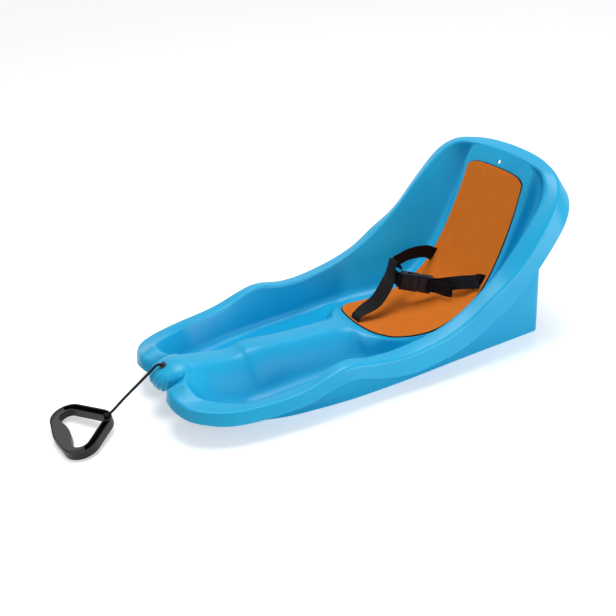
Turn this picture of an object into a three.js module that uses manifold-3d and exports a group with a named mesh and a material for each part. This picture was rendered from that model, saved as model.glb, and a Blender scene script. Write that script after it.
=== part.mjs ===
// Baby pull sled: a moulded hull with a seat pad, a buckled harness and a sprung pull cord in its nose.
// Millimetres, +Z up, nose towards -Y, the sled's left side towards +X, origin on the floor under its middle
import * as THREE from "three";
import { mergeVertices } from "three/addons/utils/BufferGeometryUtils.js";
import Module from "manifold-3d";

const wasm = await Module();
wasm.setup();

// Whole sled
const sled_length = 753;
const sled_width = 392;
const sled_height = 297;

// Hull skin
const hull_wall = 3;
const rim_radius = 6;
const crease_radius = 6;
const panel_radius = 6;
const foot_radius = 16;
const skirt_height = 34;
const skirt_flare = 5;
const cut_overrun = 4;
const weld_distance = 0.01;
const fine_weld_distance = 0.0001;
const station_nudge_share = 0.002;
const back_lean_degrees = 64.5;

// Base wall under the rim, an outline of x and y shares that runs from the nose end to the back corner
const base_wall = 3;
const base_height = 262;
const base_corner_radius = 14;
const ramp_start = 235;
const ramp_run = 90;
const ramp_rise = 34;
const base_shares = [
  [0.560, -0.372],
  [0.622, -0.327],
  [0.704, -0.265],
  [0.750, -0.199],
  [0.786, -0.128],
  [0.801, -0.054],
  [0.806, 0.026],
  [0.801, 0.110],
  [0.796, 0.197],
  [0.796, 0.404],
];

// Nose that covers the reel: y, half width, top and bottom as shares
const nose_wall = 3;
const nose_roundness_share = 0.85;
const nose_spacing_power = 1.3;
const nose_tip_half = 0.5;
const nose_tip_wall_share = 0.2;
const nose_opening_share = 0.18;
const nose_shares = [
  [-0.500, 0.02, 0.206, 0.198],
  [-0.497, 0.08, 0.226, 0.176],
  [-0.489, 0.125, 0.250, 0.152],
  [-0.475, 0.162, 0.270, 0.138],
  [-0.453, 0.184, 0.287, 0.134],
  [-0.432, 0.190, 0.286, 0.134],
  [-0.421, 0.190, 0.277, 0.134],
];
const nose_chin = 30;

// Seat pad and the tray it lies in
const pad_thickness = 6;
const tray_depth = 4;
const pad_seat_gap = 0.5;
const pad_side_gap = 1.3;
const tray_wall = 3;
const pad_front_share = 9.14 / 18;
const pad_top_share = 17 / 18;
const pad_front_arc_share = 0.28 / 18;
const pad_front_corner_share = 0.36 / 18;
const pad_top_arc_share = 0.1 / 18;
const pad_top_corner_share = 0.2 / 18;
const pad_corner_power = 8;
const pad_width_shares = [
  [0.355],
  [0.425],
  [0.430],
  [0.424],
  [0.415],
  [0.402],
  [0.386],
];

// Slots for the webbing, and the hole in the back
const webbing_width = 25;
const webbing_thickness = 1.6;
const slot_gap = 1.5;
const belt_slot_share = 13.49 / 18;
const belt_slot_x_share = 0.3776;
const crotch_slot_share = 9.26 / 18;
const hang_hole_radius = 4;
const hang_hole_share = 17.25 / 18;

// Rim: inner edge x, y, z and outer edge x, y, z as shares of half the width, the length and the height
const rim_shares = [
  [0.166, -0.440, 0.235, 0.205, -0.475, 0.203],
  [0.372, -0.454, 0.269, 0.306, -0.493, 0.242],
  [0.541, -0.436, 0.222, 0.490, -0.488, 0.226],
  [0.714, -0.361, 0.185, 0.663, -0.461, 0.212],
  [0.760, -0.294, 0.195, 0.816, -0.390, 0.195],
  [0.786, -0.229, 0.215, 0.898, -0.260, 0.209],
  [0.801, -0.148, 0.283, 0.918, -0.147, 0.273],
  [0.796, -0.079, 0.246, 0.929, -0.063, 0.236],
  [0.806, -0.007, 0.239, 0.954, 0.003, 0.229],
  [0.827, 0.088, 0.276, 0.969, 0.088, 0.259],
  [0.837, 0.149, 0.330, 0.969, 0.159, 0.316],
  [0.832, 0.205, 0.407, 0.969, 0.218, 0.404],
  [0.827, 0.272, 0.532, 0.959, 0.292, 0.515],
  [0.811, 0.346, 0.717, 0.939, 0.367, 0.710],
  [0.745, 0.406, 0.869, 0.867, 0.418, 0.865],
  [0.602, 0.432, 0.946, 0.714, 0.450, 0.949],
  [0.408, 0.444, 0.966, 0.459, 0.473, 0.983],
  [0.204, 0.450, 0.976, 0.230, 0.481, 0.997],
  [0.000, 0.451, 0.980, 0.000, 0.484, 1.000],
];

// Inside form at each rim station: centre line y and z, then the width of the raised middle, the run of its
// side, its depth, the reach of the floor, the lean of the section, the flare and the depth of the skirt,
// and how far its edge runs ahead of the station
const form_shares = [
  [-0.432, 0.285, 0.05, 0.06, 0.01, 0.50, 0.00, 0.8, 0.55, 0.35],
  [-0.408, 0.269, 0.10, 0.12, 0.08, 0.60, 0.00, 0.8, 0.55, 0.35],
  [-0.379, 0.252, 0.12, 0.19, 0.17, 0.62, 0.00, 0.8, 0.58, 0.35],
  [-0.329, 0.225, 0.12, 0.21, 0.20, 0.74, 0.00, 0.8, 0.62, 0.35],
  [-0.299, 0.220, 0.12, 0.21, 0.205, 0.80, 0.00, 0.8, 0.64, 0.35],
  [-0.268, 0.236, 0.13, 0.20, 0.22, 0.86, 0.00, 0.8, 0.66, 0.35],
  [-0.167, 0.208, 0.12, 0.20, 0.195, 0.92, 0.00, 0.8, 0.68, 0.35],
  [-0.087, 0.195, 0.12, 0.20, 0.182, 0.95, 0.00, 0.8, 0.85, 0.35],
  [-0.031, 0.178, 0.17, 0.17, 0.162, 0.93, 0.00, 0.8, 1.00, 0.35],
  [-0.003, 0.162, 0.39, 0.08, 0.120, 0.80, 0.00, 1.0, 1.05, 0.35],
  [0.072, 0.108, 0.44, 0.06, 0.050, 0.50, 0.00, 1.0, 1.15, 0.35],
  [0.159, 0.086, 0.44, 0.05, 0.020, 0.30, 0.05, 1.0, 1.25, 0.35],
  [0.232, 0.128, 0.44, 0.05, 0.020, 0.25, 0.35, 1.2, 1.30, 0.35],
  [0.293, 0.222, 0.44, 0.05, 0.035, 0.25, 0.80, 1.8, 1.30, 0.35],
  [0.335, 0.350, 0.45, 0.05, 0.050, 0.30, 0.97, 3.4, 1.20, 0.60],
  [0.374, 0.525, 0.46, 0.05, 0.055, 0.35, 1.00, 4.2, 1.05, 1.70],
  [0.406, 0.707, 0.375, 0.03, 0.000, 0.40, 1.00, 3.4, 0.95, 1.55],
  [0.431, 0.882, 0.17, 0.03, 0.000, 0.40, 1.00, 2.6, 0.95, 0.75],
  [0.451, 0.980, 0.00, 0.00, 0.000, 0.00, 1.00, 2.4, 0.95, 0.00],
];
const tunnel_station_share = 8 / 18;
const seat_station_share = 9 / 18;
const station_share = 1 / 18;
const station_steps = [3, 3, 2, 2, 2, 2, 2, 2, 3, 3, 2, 1, 1, 2, 3, 3, 2, 2];

// Reel in the nose
const reel_y_share = -0.403;
const reel_z_share = 0.1549;
const reel_radius_share = 0.0875;
const reel_wall = 2.5;
const reel_width = 34;
const cover_thickness = 2.7;
const seam_gap = 0.3;
const drum_core_radius = 9;
const drum_flange = 1.5;
const drum_clearance = 0.8;
const winding_inset = 2.7;
const winding_width = 17;
const spring_width = 5;
const spring_strip = 0.7;
const spring_turns = 4;
const spring_inset = 2.5;
const axle_radius = 3;
const cord_slot_width = 9;
const cord_slot_low_share = 0.7;
const cord_slot_end_share = 0.3;
const ear_radius = 3.6;
const ear_reach = 2;
const ear_degrees = [20, 160, 270];
const screw_radius = 1.5;
const screw_head_radius = 2.8;
const screw_head = 1.8;
const screw_length = 16;
const lug_length = 12;
const lug_thickness = 4;
const lug_drop = 11;
const boss_radius = 4.2;
const boss_height_share = 0.25;
const mount_screw_length = 12;

// Cord, its eyelet and its handle
const cord_diameter = 4.5;
const cord_lead_share = 0.2;
const eyelet_y_share = -0.469;
const eyelet_sink = 1.2;
const eyelet_lean_degrees = 42;
const eyelet_flange_radius = 7;
const eyelet_flange = 1.6;
const eyelet_sleeve_radius = 4.8;
const eyelet_bore_radius = 2.7;
const eyelet_length = 8;
const cord_route = [
  [0, -361.5, 86],
  [0, -367, 84.2],
  [0, -375, 78.6],
  [0, -397, 64.2],
  [0.2, -424, 47],
];
const handle_width = 136;
const handle_height = 91;
const handle_apex_shift = 6.5;
const handle_corner_radius = 29.5;
const handle_band = 15;
const handle_thickness = 13;
const handle_wall = 2.5;
const grip_bulge = 5;
const grip_depth = 22;
const grip_round = 81;
const channel_depth = 10;
const handle_base = [-6, -540.4, 2.2];
const handle_tilt_degrees = [8, 1.5, -0.4];
const handle_rib = 2.4;
const rib_height_share = 0.8;
const knot_radius = 4.4;
const knot_length_share = 0.9;
const knot_sink = 2;
const handle_bore_gap = 0.6;
const cord_entry_degrees = 24;
const cord_entry_length = 12;

// Harness
const buckle_start = [-29, 126, 80];
const buckle_end = [12, 182, 67];
const socket_length = 36;
const socket_width = 34;
const socket_thickness = 12;
const socket_wall = 3;
const socket_back = 9;
const bar_length = 2.6;
const bar_thickness = 5;
const bar_relief = 1;
const strap_slot = 5;
const wrap_gap = 0.4;
const socket_fit = 1;
const weld_overlap = 1;
const window_start = 13;
const window_length = 12;
const plug_length = 24;
const plug_thickness = 10;
const plug_bar = 4;
const tongue_width = 8;
const tongue_thickness = 5;
const arm_width = 4.4;
const arm_spread = 10.2;
const arm_length = 21;
const hook_rise = 3.3;
const hook_length = 8;
const hook_slope = 1;
const stopper_length = 36;
const stopper_width = 12;
const stopper_thickness = 3;
const stopper_gap = 0.4;
const hem_length = 4;
const turn_delay_share = 0.6;

const half_width = sled_width / 2;
const belt_slot_x = belt_slot_x_share * half_width;
const reel_y = reel_y_share * sled_length;
const reel_z = reel_z_share * sled_height;
const reel_radius = reel_radius_share * sled_height;
const reel_half = reel_width / 2;
const lug_top = reel_z + lug_drop;
const lug_x = reel_half + lug_length / 2;
const cup_end = reel_half - cover_thickness - seam_gap;
const cup_inner = reel_radius - reel_wall;
const drum_start = -reel_half + reel_wall + drum_clearance;
const drum_end = drum_start + winding_width + 2 * drum_flange;
const drum_radius = cup_inner - drum_clearance;
const winding_radius = drum_radius - winding_inset;
const spring_radius = cup_inner - spring_inset;
const ear_centre = reel_radius + ear_reach;
const slot_width = webbing_thickness + 2 * slot_gap;
const slot_length = webbing_width + 2 * slot_gap;
const slot_depth = 3 * (tray_depth + tray_wall);
const knot_height = handle_thickness - knot_sink;
const knot_y = handle_height - handle_wall - knot_radius - seam_gap;
const plug_start = socket_length + seam_gap;
const wrap = bar_thickness / 2 + webbing_thickness + wrap_gap;
const belt_tail = tray_depth + tray_wall + stopper_thickness + 2 * stopper_gap + hem_length;

function catmull(rows, column, u) {
  const span = u * (rows.length - 1);
  const i = Math.min(Math.floor(span), rows.length - 2);
  const t = span - i;
  const at = (k) => rows[Math.min(Math.max(k, 0), rows.length - 1)][column];
  const a = at(i - 1);
  const b = at(i);
  const c = at(i + 1);
  const d = at(i + 2);
  const bend = 2 * a - 5 * b + 4 * c - d;
  const twist = 3 * b - a - 3 * c + d;
  return (2 * b + (c - a) * t + bend * t * t + twist * t * t * t) / 2;
}

function placed(rows, column, u) {
  const x = catmull(rows, column, u) * half_width;
  const y = catmull(rows, column + 1, u) * sled_length;
  const z = catmull(rows, column + 2, u) * sled_height;
  return new THREE.Vector3(x, y, z);
}

function ridge(u) {
  const y = catmull(form_shares, 0, u) * sled_length;
  const z = catmull(form_shares, 1, u) * sled_height;
  return new THREE.Vector3(0, y, z);
}

// Outward direction of the rim in plan
function rimOutward(u) {
  const a = placed(rim_shares, 3, Math.max(u - 2 * station_nudge_share, 0));
  const b = placed(rim_shares, 3, Math.min(u + 2 * station_nudge_share, 1));
  const along = b.sub(a).setZ(0).normalize();
  return new THREE.Vector3(along.y, -along.x, 0);
}

// A corner drawn as a parabola between two cuts, the cuts no longer than half of each side
function roundCorner(before, corner, after, radius, steps) {
  const back = before.clone().sub(corner);
  const on = after.clone().sub(corner);
  const cut_back = Math.min(radius, back.length() * 0.5);
  const cut_on = Math.min(radius, on.length() * 0.5);
  const start = corner.clone().add(back.setLength(cut_back));
  const end = corner.clone().add(on.setLength(cut_on));
  return new THREE.QuadraticBezierCurve3(start, corner, end).getPoints(steps);
}

// Half a cross section of the skin, from the centre line to the foot of the skirt
function halfSection(u) {
  const form = (column) => catmull(form_shares, column, u);
  const centre = ridge(u);
  const seat_part = THREE.MathUtils.smoothstep(u, tunnel_station_share, seat_station_share);
  const ahead = form(9) * station_share * seat_part;
  const shoulder = ridge(Math.min(u + ahead, 1)).setX(Math.max(form(2), 0) * half_width);
  const lean = THREE.MathUtils.degToRad(back_lean_degrees * form(6));
  const down = new THREE.Vector3(0, Math.sin(lean), -Math.cos(lean));
  const depth = Math.max(form(4), 0) * sled_height;
  const foot = shoulder.clone().addScaledVector(down, depth);
  foot.x += Math.max(form(3), 0) * half_width;
  const rim = placed(rim_shares, 0, u);
  const below_rim = rim.clone().addScaledVector(down, foot.clone().sub(rim).dot(down));
  const wall_foot = foot.clone().lerp(below_rim, form(5));
  const edge = placed(rim_shares, 3, u);
  const hem = edge.clone().addScaledVector(rimOutward(u), skirt_flare * form(7));
  hem.z -= skirt_height * form(8);
  const ridge_radius = THREE.MathUtils.lerp(half_width, panel_radius, seat_part);
  const points = [centre];
  points.push(...roundCorner(centre, shoulder, foot, ridge_radius, 4));
  points.push(...roundCorner(shoulder, foot, wall_foot, foot_radius, 3));
  points.push(...roundCorner(foot, wall_foot, rim, foot_radius, 2));
  points.push(...roundCorner(wall_foot, rim, edge, rim_radius, 3));
  points.push(...roundCorner(rim, edge, hem, crease_radius, 2));
  points.push(hem);
  return points;
}

function stations() {
  const list = [0];
  station_steps.forEach((steps, i) => {
    for (let k = 1; k <= steps; k += 1) {
      list.push((i + k / steps) / station_steps.length);
    }
  });
  return list;
}

// An indexed sheet through rows of points
function sheet(rows) {
  const positions = rows.flat().flatMap((p) => [p.x, p.y, p.z]);
  const width = rows[0].length;
  const index = [];
  for (let i = 0; i < rows.length - 1; i += 1) {
    for (let j = 0; j < width - 1; j += 1) {
      const a = i * width + j;
      const b = a + 1;
      const c = a + width;
      const d = c + 1;
      index.push(a, b, d, a, d, c);
    }
  }
  const geometry = new THREE.BufferGeometry();
  geometry.setAttribute("position", new THREE.Float32BufferAttribute(positions, 3));
  geometry.setIndex(index);
  return dropSlivers(mergeVertices(geometry, weld_distance));
}

function dropSlivers(geometry) {
  const index = geometry.index.array;
  const kept = [];
  for (let i = 0; i < index.length; i += 3) {
    const [a, b, c] = [index[i], index[i + 1], index[i + 2]];
    if (a !== b && b !== c && a !== c) {
      kept.push(a, b, c);
    }
  }
  geometry.setIndex(kept);
  return geometry;
}

// The directed edges that only one triangle uses
function openEdges(index) {
  const seen = new Map();
  for (let i = 0; i < index.length; i += 3) {
    for (let k = 0; k < 3; k += 1) {
      seen.set(`${index[i + k]}_${index[i + ((k + 1) % 3)]}`, [index[i + k], index[i + ((k + 1) % 3)]]);
    }
  }
  return [...seen.values()].filter(([a, b]) => !seen.has(`${b}_${a}`));
}

// A closed body between a sheet raised by one distance and sunk by another along its normals
function thicken(geometry, above, below) {
  geometry.computeVertexNormals();
  const place = geometry.attributes.position;
  const normal = geometry.attributes.normal;
  const count = place.count;
  const positions = [];
  for (const offset of [above, -below]) {
    for (let i = 0; i < count; i += 1) {
      positions.push(place.getX(i) + normal.getX(i) * offset);
      positions.push(place.getY(i) + normal.getY(i) * offset);
      positions.push(place.getZ(i) + normal.getZ(i) * offset);
    }
  }
  const top = [...geometry.index.array];
  const index = [...top];
  for (let i = 0; i < top.length; i += 3) {
    index.push(top[i] + count, top[i + 2] + count, top[i + 1] + count);
  }
  for (const [a, b] of openEdges(top)) {
    index.push(b, a, a + count, b, a + count, b + count);
  }
  const body = new THREE.BufferGeometry();
  body.setAttribute("position", new THREE.Float32BufferAttribute(positions, 3));
  body.setIndex(index);
  return body;
}

function skinRows() {
  return stations().map((u) => {
    const half = halfSection(u);
    const other = half.slice(1).reverse().map((p) => new THREE.Vector3(-p.x, p.y, p.z));
    return [...other, ...half];
  });
}

function solid(geometry) {
  const plain = geometry.clone();
  plain.deleteAttribute("normal");
  plain.deleteAttribute("uv");
  const merged = mergeVertices(plain, fine_weld_distance);
  const vertProperties = new Float32Array(merged.attributes.position.array);
  const triVerts = new Uint32Array(merged.index.array);
  return new wasm.Manifold(new wasm.Mesh({ numProp: 3, vertProperties, triVerts }));
}

function surface(body) {
  const mesh = body.getMesh();
  const geometry = new THREE.BufferGeometry();
  geometry.setAttribute("position", new THREE.Float32BufferAttribute(mesh.vertProperties, 3));
  geometry.setIndex([...mesh.triVerts]);
  return geometry;
}

function box(low, high) {
  const size = high.map((value, i) => value - low[i]);
  const geometry = new THREE.BoxGeometry(...size);
  return geometry.translate(low[0] + size[0] / 2, low[1] + size[1] / 2, low[2] + size[2] / 2);
}

// A body turned about the X axis from a closed profile of radius and x
function turnedOnX(profile, segments = 36) {
  const geometry = new THREE.LatheGeometry(profile.map(([r, x]) => new THREE.Vector2(r, x)), segments);
  return geometry.rotateZ(-Math.PI / 2);
}

function tubeProfile(inner, outer, from, to) {
  return [[inner, from], [outer, from], [outer, to], [inner, to], [inner, from]];
}

function rodProfile(radius, from, to) {
  return [[0, from], [radius, from], [radius, to], [0, to]];
}

// A strap along a smooth route. Its width turns from one direction to another, and back after a second share
function ribbon(points, steps, from, to, turn_share, back_share = 1) {
  const curve = new THREE.CatmullRomCurve3(points, false, "centripetal");
  const rows = [];
  for (let i = 0; i <= steps; i += 1) {
    const point = curve.getPoint(i / steps);
    const along = curve.getTangent(i / steps);
    const turned = THREE.MathUtils.smoothstep(i / steps, turn_share * turn_delay_share, turn_share);
    const back = THREE.MathUtils.smoothstep(i / steps, back_share, back_share + turn_share / 2);
    const across = from.clone().lerp(to, turned * (1 - back));
    const side = across.addScaledVector(along, -across.dot(along)).setLength(webbing_width / 2);
    rows.push([point.clone().sub(side), point.clone().add(side)]);
  }
  return thicken(sheet(rows), webbing_thickness / 2, webbing_thickness / 2);
}

function axisOf(frame, column) {
  return new THREE.Vector3().setFromMatrixColumn(frame, column);
}

function shared(rows) {
  return rows.map(([x, y, z]) => new THREE.Vector3(x * half_width, y * sled_length, z * sled_height));
}

// Base wall: a band along the outline, cut away above the skin and under the ramp of the nose end
function baseOutline() {
  const side = base_shares.map(([x, y]) => new THREE.Vector2(x * half_width, y * sled_length));
  const path = new THREE.SplineCurve(side).getPoints(side.length * 2);
  const corner = path[path.length - 1];
  const centre = new THREE.Vector2(corner.x - base_corner_radius, corner.y - base_corner_radius);
  const straight = path.filter((p) => p.y < centre.y - base_corner_radius);
  for (let k = 0; k <= 5; k += 1) {
    const angle = (Math.PI / 2) * (k / 5);
    const reach = new THREE.Vector2(Math.cos(angle), Math.sin(angle)).multiplyScalar(base_corner_radius);
    straight.push(centre.clone().add(reach));
  }
  const other = straight.slice().reverse().map((p) => new THREE.Vector2(-p.x, p.y));
  return [...straight, ...other];
}

function baseBand() {
  const outer = baseOutline();
  const inner = outer.map((p, i) => {
    const before = outer[Math.max(i - 1, 0)];
    const after = outer[Math.min(i + 1, outer.length - 1)];
    const along = after.clone().sub(before).normalize();
    return new THREE.Vector2(p.x - along.y * base_wall, p.y + along.x * base_wall);
  });
  const shape = new THREE.Shape([...outer, ...inner.reverse()]);
  return new THREE.ExtrudeGeometry(shape, { depth: base_height, bevelEnabled: false });
}

function rampCut() {
  const low = -cut_overrun;
  const front = -sled_length / 2;
  const shape = new THREE.Shape();
  shape.moveTo(-ramp_start, 0);
  shape.lineTo(-ramp_start - ramp_run, ramp_rise);
  shape.lineTo(front, ramp_rise);
  shape.lineTo(front, low);
  shape.lineTo(-ramp_start, low);
  const geometry = new THREE.ExtrudeGeometry(shape, { depth: sled_width, bevelEnabled: false });
  return geometry.rotateY(Math.PI / 2).rotateX(Math.PI / 2).translate(-half_width, 0, 0);
}

// Everything above the middle of the skin, out to the rim
function aboveSkin(rows) {
  const inner = rows.map((row) => row.slice(2, row.length - 2));
  const geometry = sheet(inner);
  geometry.computeVertexNormals();
  const place = geometry.attributes.position;
  const normal = geometry.attributes.normal;
  const count = place.count;
  const positions = [];
  for (let i = 0; i < count; i += 1) {
    const sunk = new THREE.Vector3().fromBufferAttribute(normal, i).multiplyScalar(-hull_wall / 2);
    sunk.add(new THREE.Vector3().fromBufferAttribute(place, i));
    positions.push(sunk.x, sunk.y, sunk.z);
  }
  const raised = positions.map((value, i) => (i % 3 === 2 ? 2 * sled_height : value));
  const low = [...geometry.index.array];
  const index = low.map((value) => value + count);
  for (let i = 0; i < low.length; i += 3) {
    index.push(low[i], low[i + 2], low[i + 1]);
  }
  for (const [a, b] of openEdges(low)) {
    index.push(b, b + count, a, a, b + count, a + count);
  }
  const body = new THREE.BufferGeometry();
  body.setAttribute("position", new THREE.Float32BufferAttribute([...positions, ...raised], 3));
  body.setIndex(index);
  return body;
}

// Nose: rounded sections from the tip back, closed at both ends, shrunk by a wall for the hollow
function noseBody(wall) {
  const sections = 9;
  const around = 24;
  const least = nose_tip_half + wall * nose_tip_wall_share;
  const positions = [];
  const index = [];
  for (let i = 0; i <= sections; i += 1) {
    const t = (i / sections) ** nose_spacing_power;
    const y = catmull(nose_shares, 0, t) * sled_length;
    const wide = Math.max(catmull(nose_shares, 1, t) * half_width - wall, least);
    const top = catmull(nose_shares, 2, t) * sled_height - wall;
    const bottom = catmull(nose_shares, 3, t) * sled_height + wall;
    const middle = (top + bottom) / 2;
    const half = Math.max((top - bottom) / 2, least);
    for (let k = 0; k < around; k += 1) {
      const angle = (k / around) * 2 * Math.PI;
      const x = wide * Math.sign(Math.cos(angle)) * Math.abs(Math.cos(angle)) ** nose_roundness_share;
      const z = half * Math.sign(Math.sin(angle)) * Math.abs(Math.sin(angle)) ** nose_roundness_share;
      positions.push(x, i === 0 ? y + wall : y, middle + z);
    }
  }
  for (let i = 0; i < sections; i += 1) {
    for (let k = 0; k < around; k += 1) {
      const a = i * around + k;
      const b = i * around + ((k + 1) % around);
      index.push(a, a + around, b, b, a + around, b + around);
    }
  }
  for (let k = 1; k < around - 1; k += 1) {
    const last = sections * around;
    index.push(0, k, k + 1, last, last + k + 1, last + k);
  }
  const geometry = new THREE.BufferGeometry();
  geometry.setAttribute("position", new THREE.Float32BufferAttribute(positions, 3));
  geometry.setIndex(index);
  return geometry;
}

function padHalfWidth(u) {
  const t = THREE.MathUtils.clamp((u - pad_front_share) / (pad_top_share - pad_front_share), 0, 1);
  return catmull(pad_width_shares, 0, t) * half_width;
}

// The sheet of the pad's outline on the profile of the seat, grown by a margin
function padSheet(margin) {
  const rows = [];
  const grown = margin / sled_length;
  for (let i = 0; i <= 18; i += 1) {
    const row = [];
    for (let k = 0; k <= 8; k += 1) {
      const q = -1 + k / 4;
      const corner = Math.abs(q) ** pad_corner_power;
      const front = pad_front_share - grown + pad_front_arc_share * q * q + pad_front_corner_share * corner;
      const top = pad_top_share + grown - pad_top_arc_share * q * q - pad_top_corner_share * corner;
      const u = THREE.MathUtils.lerp(front, top, i / 18);
      row.push(ridge(u).setX(q * (padHalfWidth(u) + margin)));
    }
    rows.push(row);
  }
  return sheet(rows);
}

// A frame on the seat profile: X across, Y up the profile, Z out of it
function profileFrame(u, x) {
  const along = ridge(u + station_nudge_share).sub(ridge(u - station_nudge_share)).normalize();
  const across = new THREE.Vector3(1, 0, 0);
  const out = across.clone().cross(along);
  return new THREE.Matrix4().makeBasis(across, along, out).setPosition(ridge(u).setX(x));
}

function slotCuts() {
  const across = slot_width / 2;
  const along = slot_length / 2;
  const side = box([-across, -along, -slot_depth], [across, along, slot_depth]);
  const front = box([-along, -across, -slot_depth], [along, across, slot_depth]);
  const frames = [-belt_slot_x, belt_slot_x].map((x) => profileFrame(belt_slot_share, x));
  const cuts = frames.map((frame) => side.clone().applyMatrix4(frame));
  cuts.push(front.applyMatrix4(profileFrame(crotch_slot_share, 0)));
  return cuts;
}

function hangHole() {
  const hole = new THREE.CylinderGeometry(hang_hole_radius, hang_hole_radius, slot_depth, 20);
  return hole.rotateX(Math.PI / 2).applyMatrix4(profileFrame(hang_hole_share, 0));
}

function eyeletFrame() {
  const lean = THREE.MathUtils.degToRad(eyelet_lean_degrees);
  const out = new THREE.Vector3(0, -Math.cos(lean), Math.sin(lean));
  const across = new THREE.Vector3(1, 0, 0);
  const y = eyelet_y_share * sled_length;
  let t = 0;
  while (catmull(nose_shares, 0, t) < eyelet_y_share) {
    t += station_nudge_share;
  }
  const z = catmull(nose_shares, 2, t) * sled_height - eyelet_sink;
  return new THREE.Matrix4().makeBasis(across, out.clone().cross(across), out).setPosition(0, y, z);
}

function bosses() {
  const height = sled_height * boss_height_share;
  return [-lug_x, lug_x].map((x) => {
    const post = new THREE.CylinderGeometry(boss_radius, boss_radius, height, 20).rotateX(Math.PI / 2);
    return post.translate(x, reel_y, lug_top + seam_gap + height / 2);
  });
}

function bossHoles() {
  const depth = mount_screw_length - lug_thickness;
  const radius = screw_radius + seam_gap;
  return [-lug_x, lug_x].map((x) => {
    const hole = new THREE.CylinderGeometry(radius, radius, depth, 16).rotateX(Math.PI / 2);
    return hole.translate(x, reel_y, lug_top + seam_gap + depth / 2);
  });
}

function sledShell() {
  const rows = skinRows();
  const above = solid(aboveSkin(rows));
  const hollow = solid(noseBody(nose_wall));
  const chin = -sled_length / 2 + nose_chin;
  const reach = sled_height / 2;
  const opening = solid(box([-half_width, chin, -reach], [half_width, 0, sled_height * nose_opening_share]));
  const band = solid(baseBand()).subtract(above).subtract(solid(rampCut()));
  const posts = bosses().map(solid).map((post) => post.subtract(above));
  let body = solid(thicken(sheet(rows), 0, hull_wall)).add(band);
  body = body.add(solid(noseBody(0)).subtract(opening)).subtract(hollow);
  for (const post of posts) {
    body = body.add(post);
  }
  const tray = thicken(padSheet(tray_wall + pad_side_gap), -tray_depth / 4, tray_depth + tray_wall);
  body = body.add(solid(tray));
  body = body.subtract(solid(thicken(padSheet(pad_side_gap), 2 * tray_depth, tray_depth)));
  for (const cut of [...slotCuts(), hangHole(), ...bossHoles()]) {
    body = body.subtract(solid(cut));
  }
  const bore_radius = eyelet_sleeve_radius + seam_gap;
  const bore = new THREE.CylinderGeometry(bore_radius, bore_radius, reach, 24);
  body = body.subtract(solid(bore.rotateX(Math.PI / 2).applyMatrix4(eyeletFrame())));
  const seat_radius = eyelet_flange_radius + seam_gap;
  const seat = new THREE.CylinderGeometry(seat_radius, seat_radius, nose_chin, 24).rotateX(Math.PI / 2);
  body = body.subtract(solid(seat.translate(0, 0, eyelet_sink + nose_chin / 2).applyMatrix4(eyeletFrame())));
  return surface(body);
}

function seatPad() {
  let pad = solid(thicken(padSheet(0), pad_thickness - tray_depth, tray_depth - pad_seat_gap));
  for (const cut of slotCuts()) {
    pad = pad.subtract(solid(cut));
  }
  return surface(pad);
}

// Reel pieces, drawn about the X axis and then moved to the reel's place
function atReel(geometry) {
  return geometry.translate(0, reel_y, reel_z);
}

function ears(from, to) {
  return ear_degrees.map((degrees) => {
    const angle = THREE.MathUtils.degToRad(degrees);
    const ear = turnedOnX(rodProfile(ear_radius, from, to), 16);
    return solid(ear.translate(0, ear_centre * Math.cos(angle), ear_centre * Math.sin(angle)));
  });
}

function earHoles(from, to) {
  return ear_degrees.map((degrees) => {
    const angle = THREE.MathUtils.degToRad(degrees);
    const hole = turnedOnX(rodProfile(screw_radius + seam_gap, from, to), 16);
    return solid(hole.translate(0, ear_centre * Math.cos(angle), ear_centre * Math.sin(angle)));
  });
}

function lug(side) {
  const inner = side * (reel_half - reel_wall);
  const outer = side * (reel_half + lug_length);
  const low = [Math.min(inner, outer), -lug_length / 2, lug_drop - lug_thickness];
  const high = [Math.max(inner, outer), lug_length / 2, lug_drop];
  const hole = new THREE.CylinderGeometry(screw_radius + seam_gap, screw_radius + seam_gap, sled_height, 16);
  const x = side * lug_x;
  return solid(box(low, high)).subtract(solid(hole.rotateX(Math.PI / 2).translate(x, 0, 0)));
}

function reelHousing() {
  const x = -reel_half;
  let cup = solid(turnedOnX(rodProfile(reel_radius, x, cup_end)));
  for (const ear of ears(x, cup_end)) {
    cup = cup.add(ear);
  }
  cup = cup.subtract(solid(turnedOnX(rodProfile(cup_inner, x + reel_wall, cup_end + cut_overrun))));
  cup = cup.add(lug(-1));
  const bore = rodProfile(axle_radius + seam_gap, x - cut_overrun, x + reel_wall + cut_overrun);
  cup = cup.subtract(solid(turnedOnX(bore)));
  const slot_half = cord_slot_width / 2;
  const slot_end = reel_radius * cord_slot_end_share;
  const slot_low = cup_inner * cord_slot_low_share;
  const slot = box([-slot_half, -reel_radius, slot_low], [slot_half, slot_end, reel_radius * 2]);
  cup = cup.subtract(solid(slot));
  for (const hole of earHoles(x - cut_overrun, cup_end + cut_overrun)) {
    cup = cup.subtract(hole);
  }
  return atReel(surface(cup));
}

function reelCover() {
  const from = cup_end + seam_gap;
  let lid = solid(turnedOnX(rodProfile(reel_radius, from, reel_half)));
  for (const ear of ears(from, reel_half)) {
    lid = lid.add(ear);
  }
  const inside = box([-reel_half, -reel_radius, -reel_radius], [from, reel_radius, reel_radius]);
  lid = lid.add(lug(1).subtract(solid(inside)));
  const bore = rodProfile(axle_radius + seam_gap, from - cut_overrun, reel_half + cut_overrun);
  lid = lid.subtract(solid(turnedOnX(bore)));
  for (const hole of earHoles(from - cut_overrun, reel_half + cut_overrun)) {
    lid = lid.subtract(hole);
  }
  return atReel(surface(lid));
}

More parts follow.
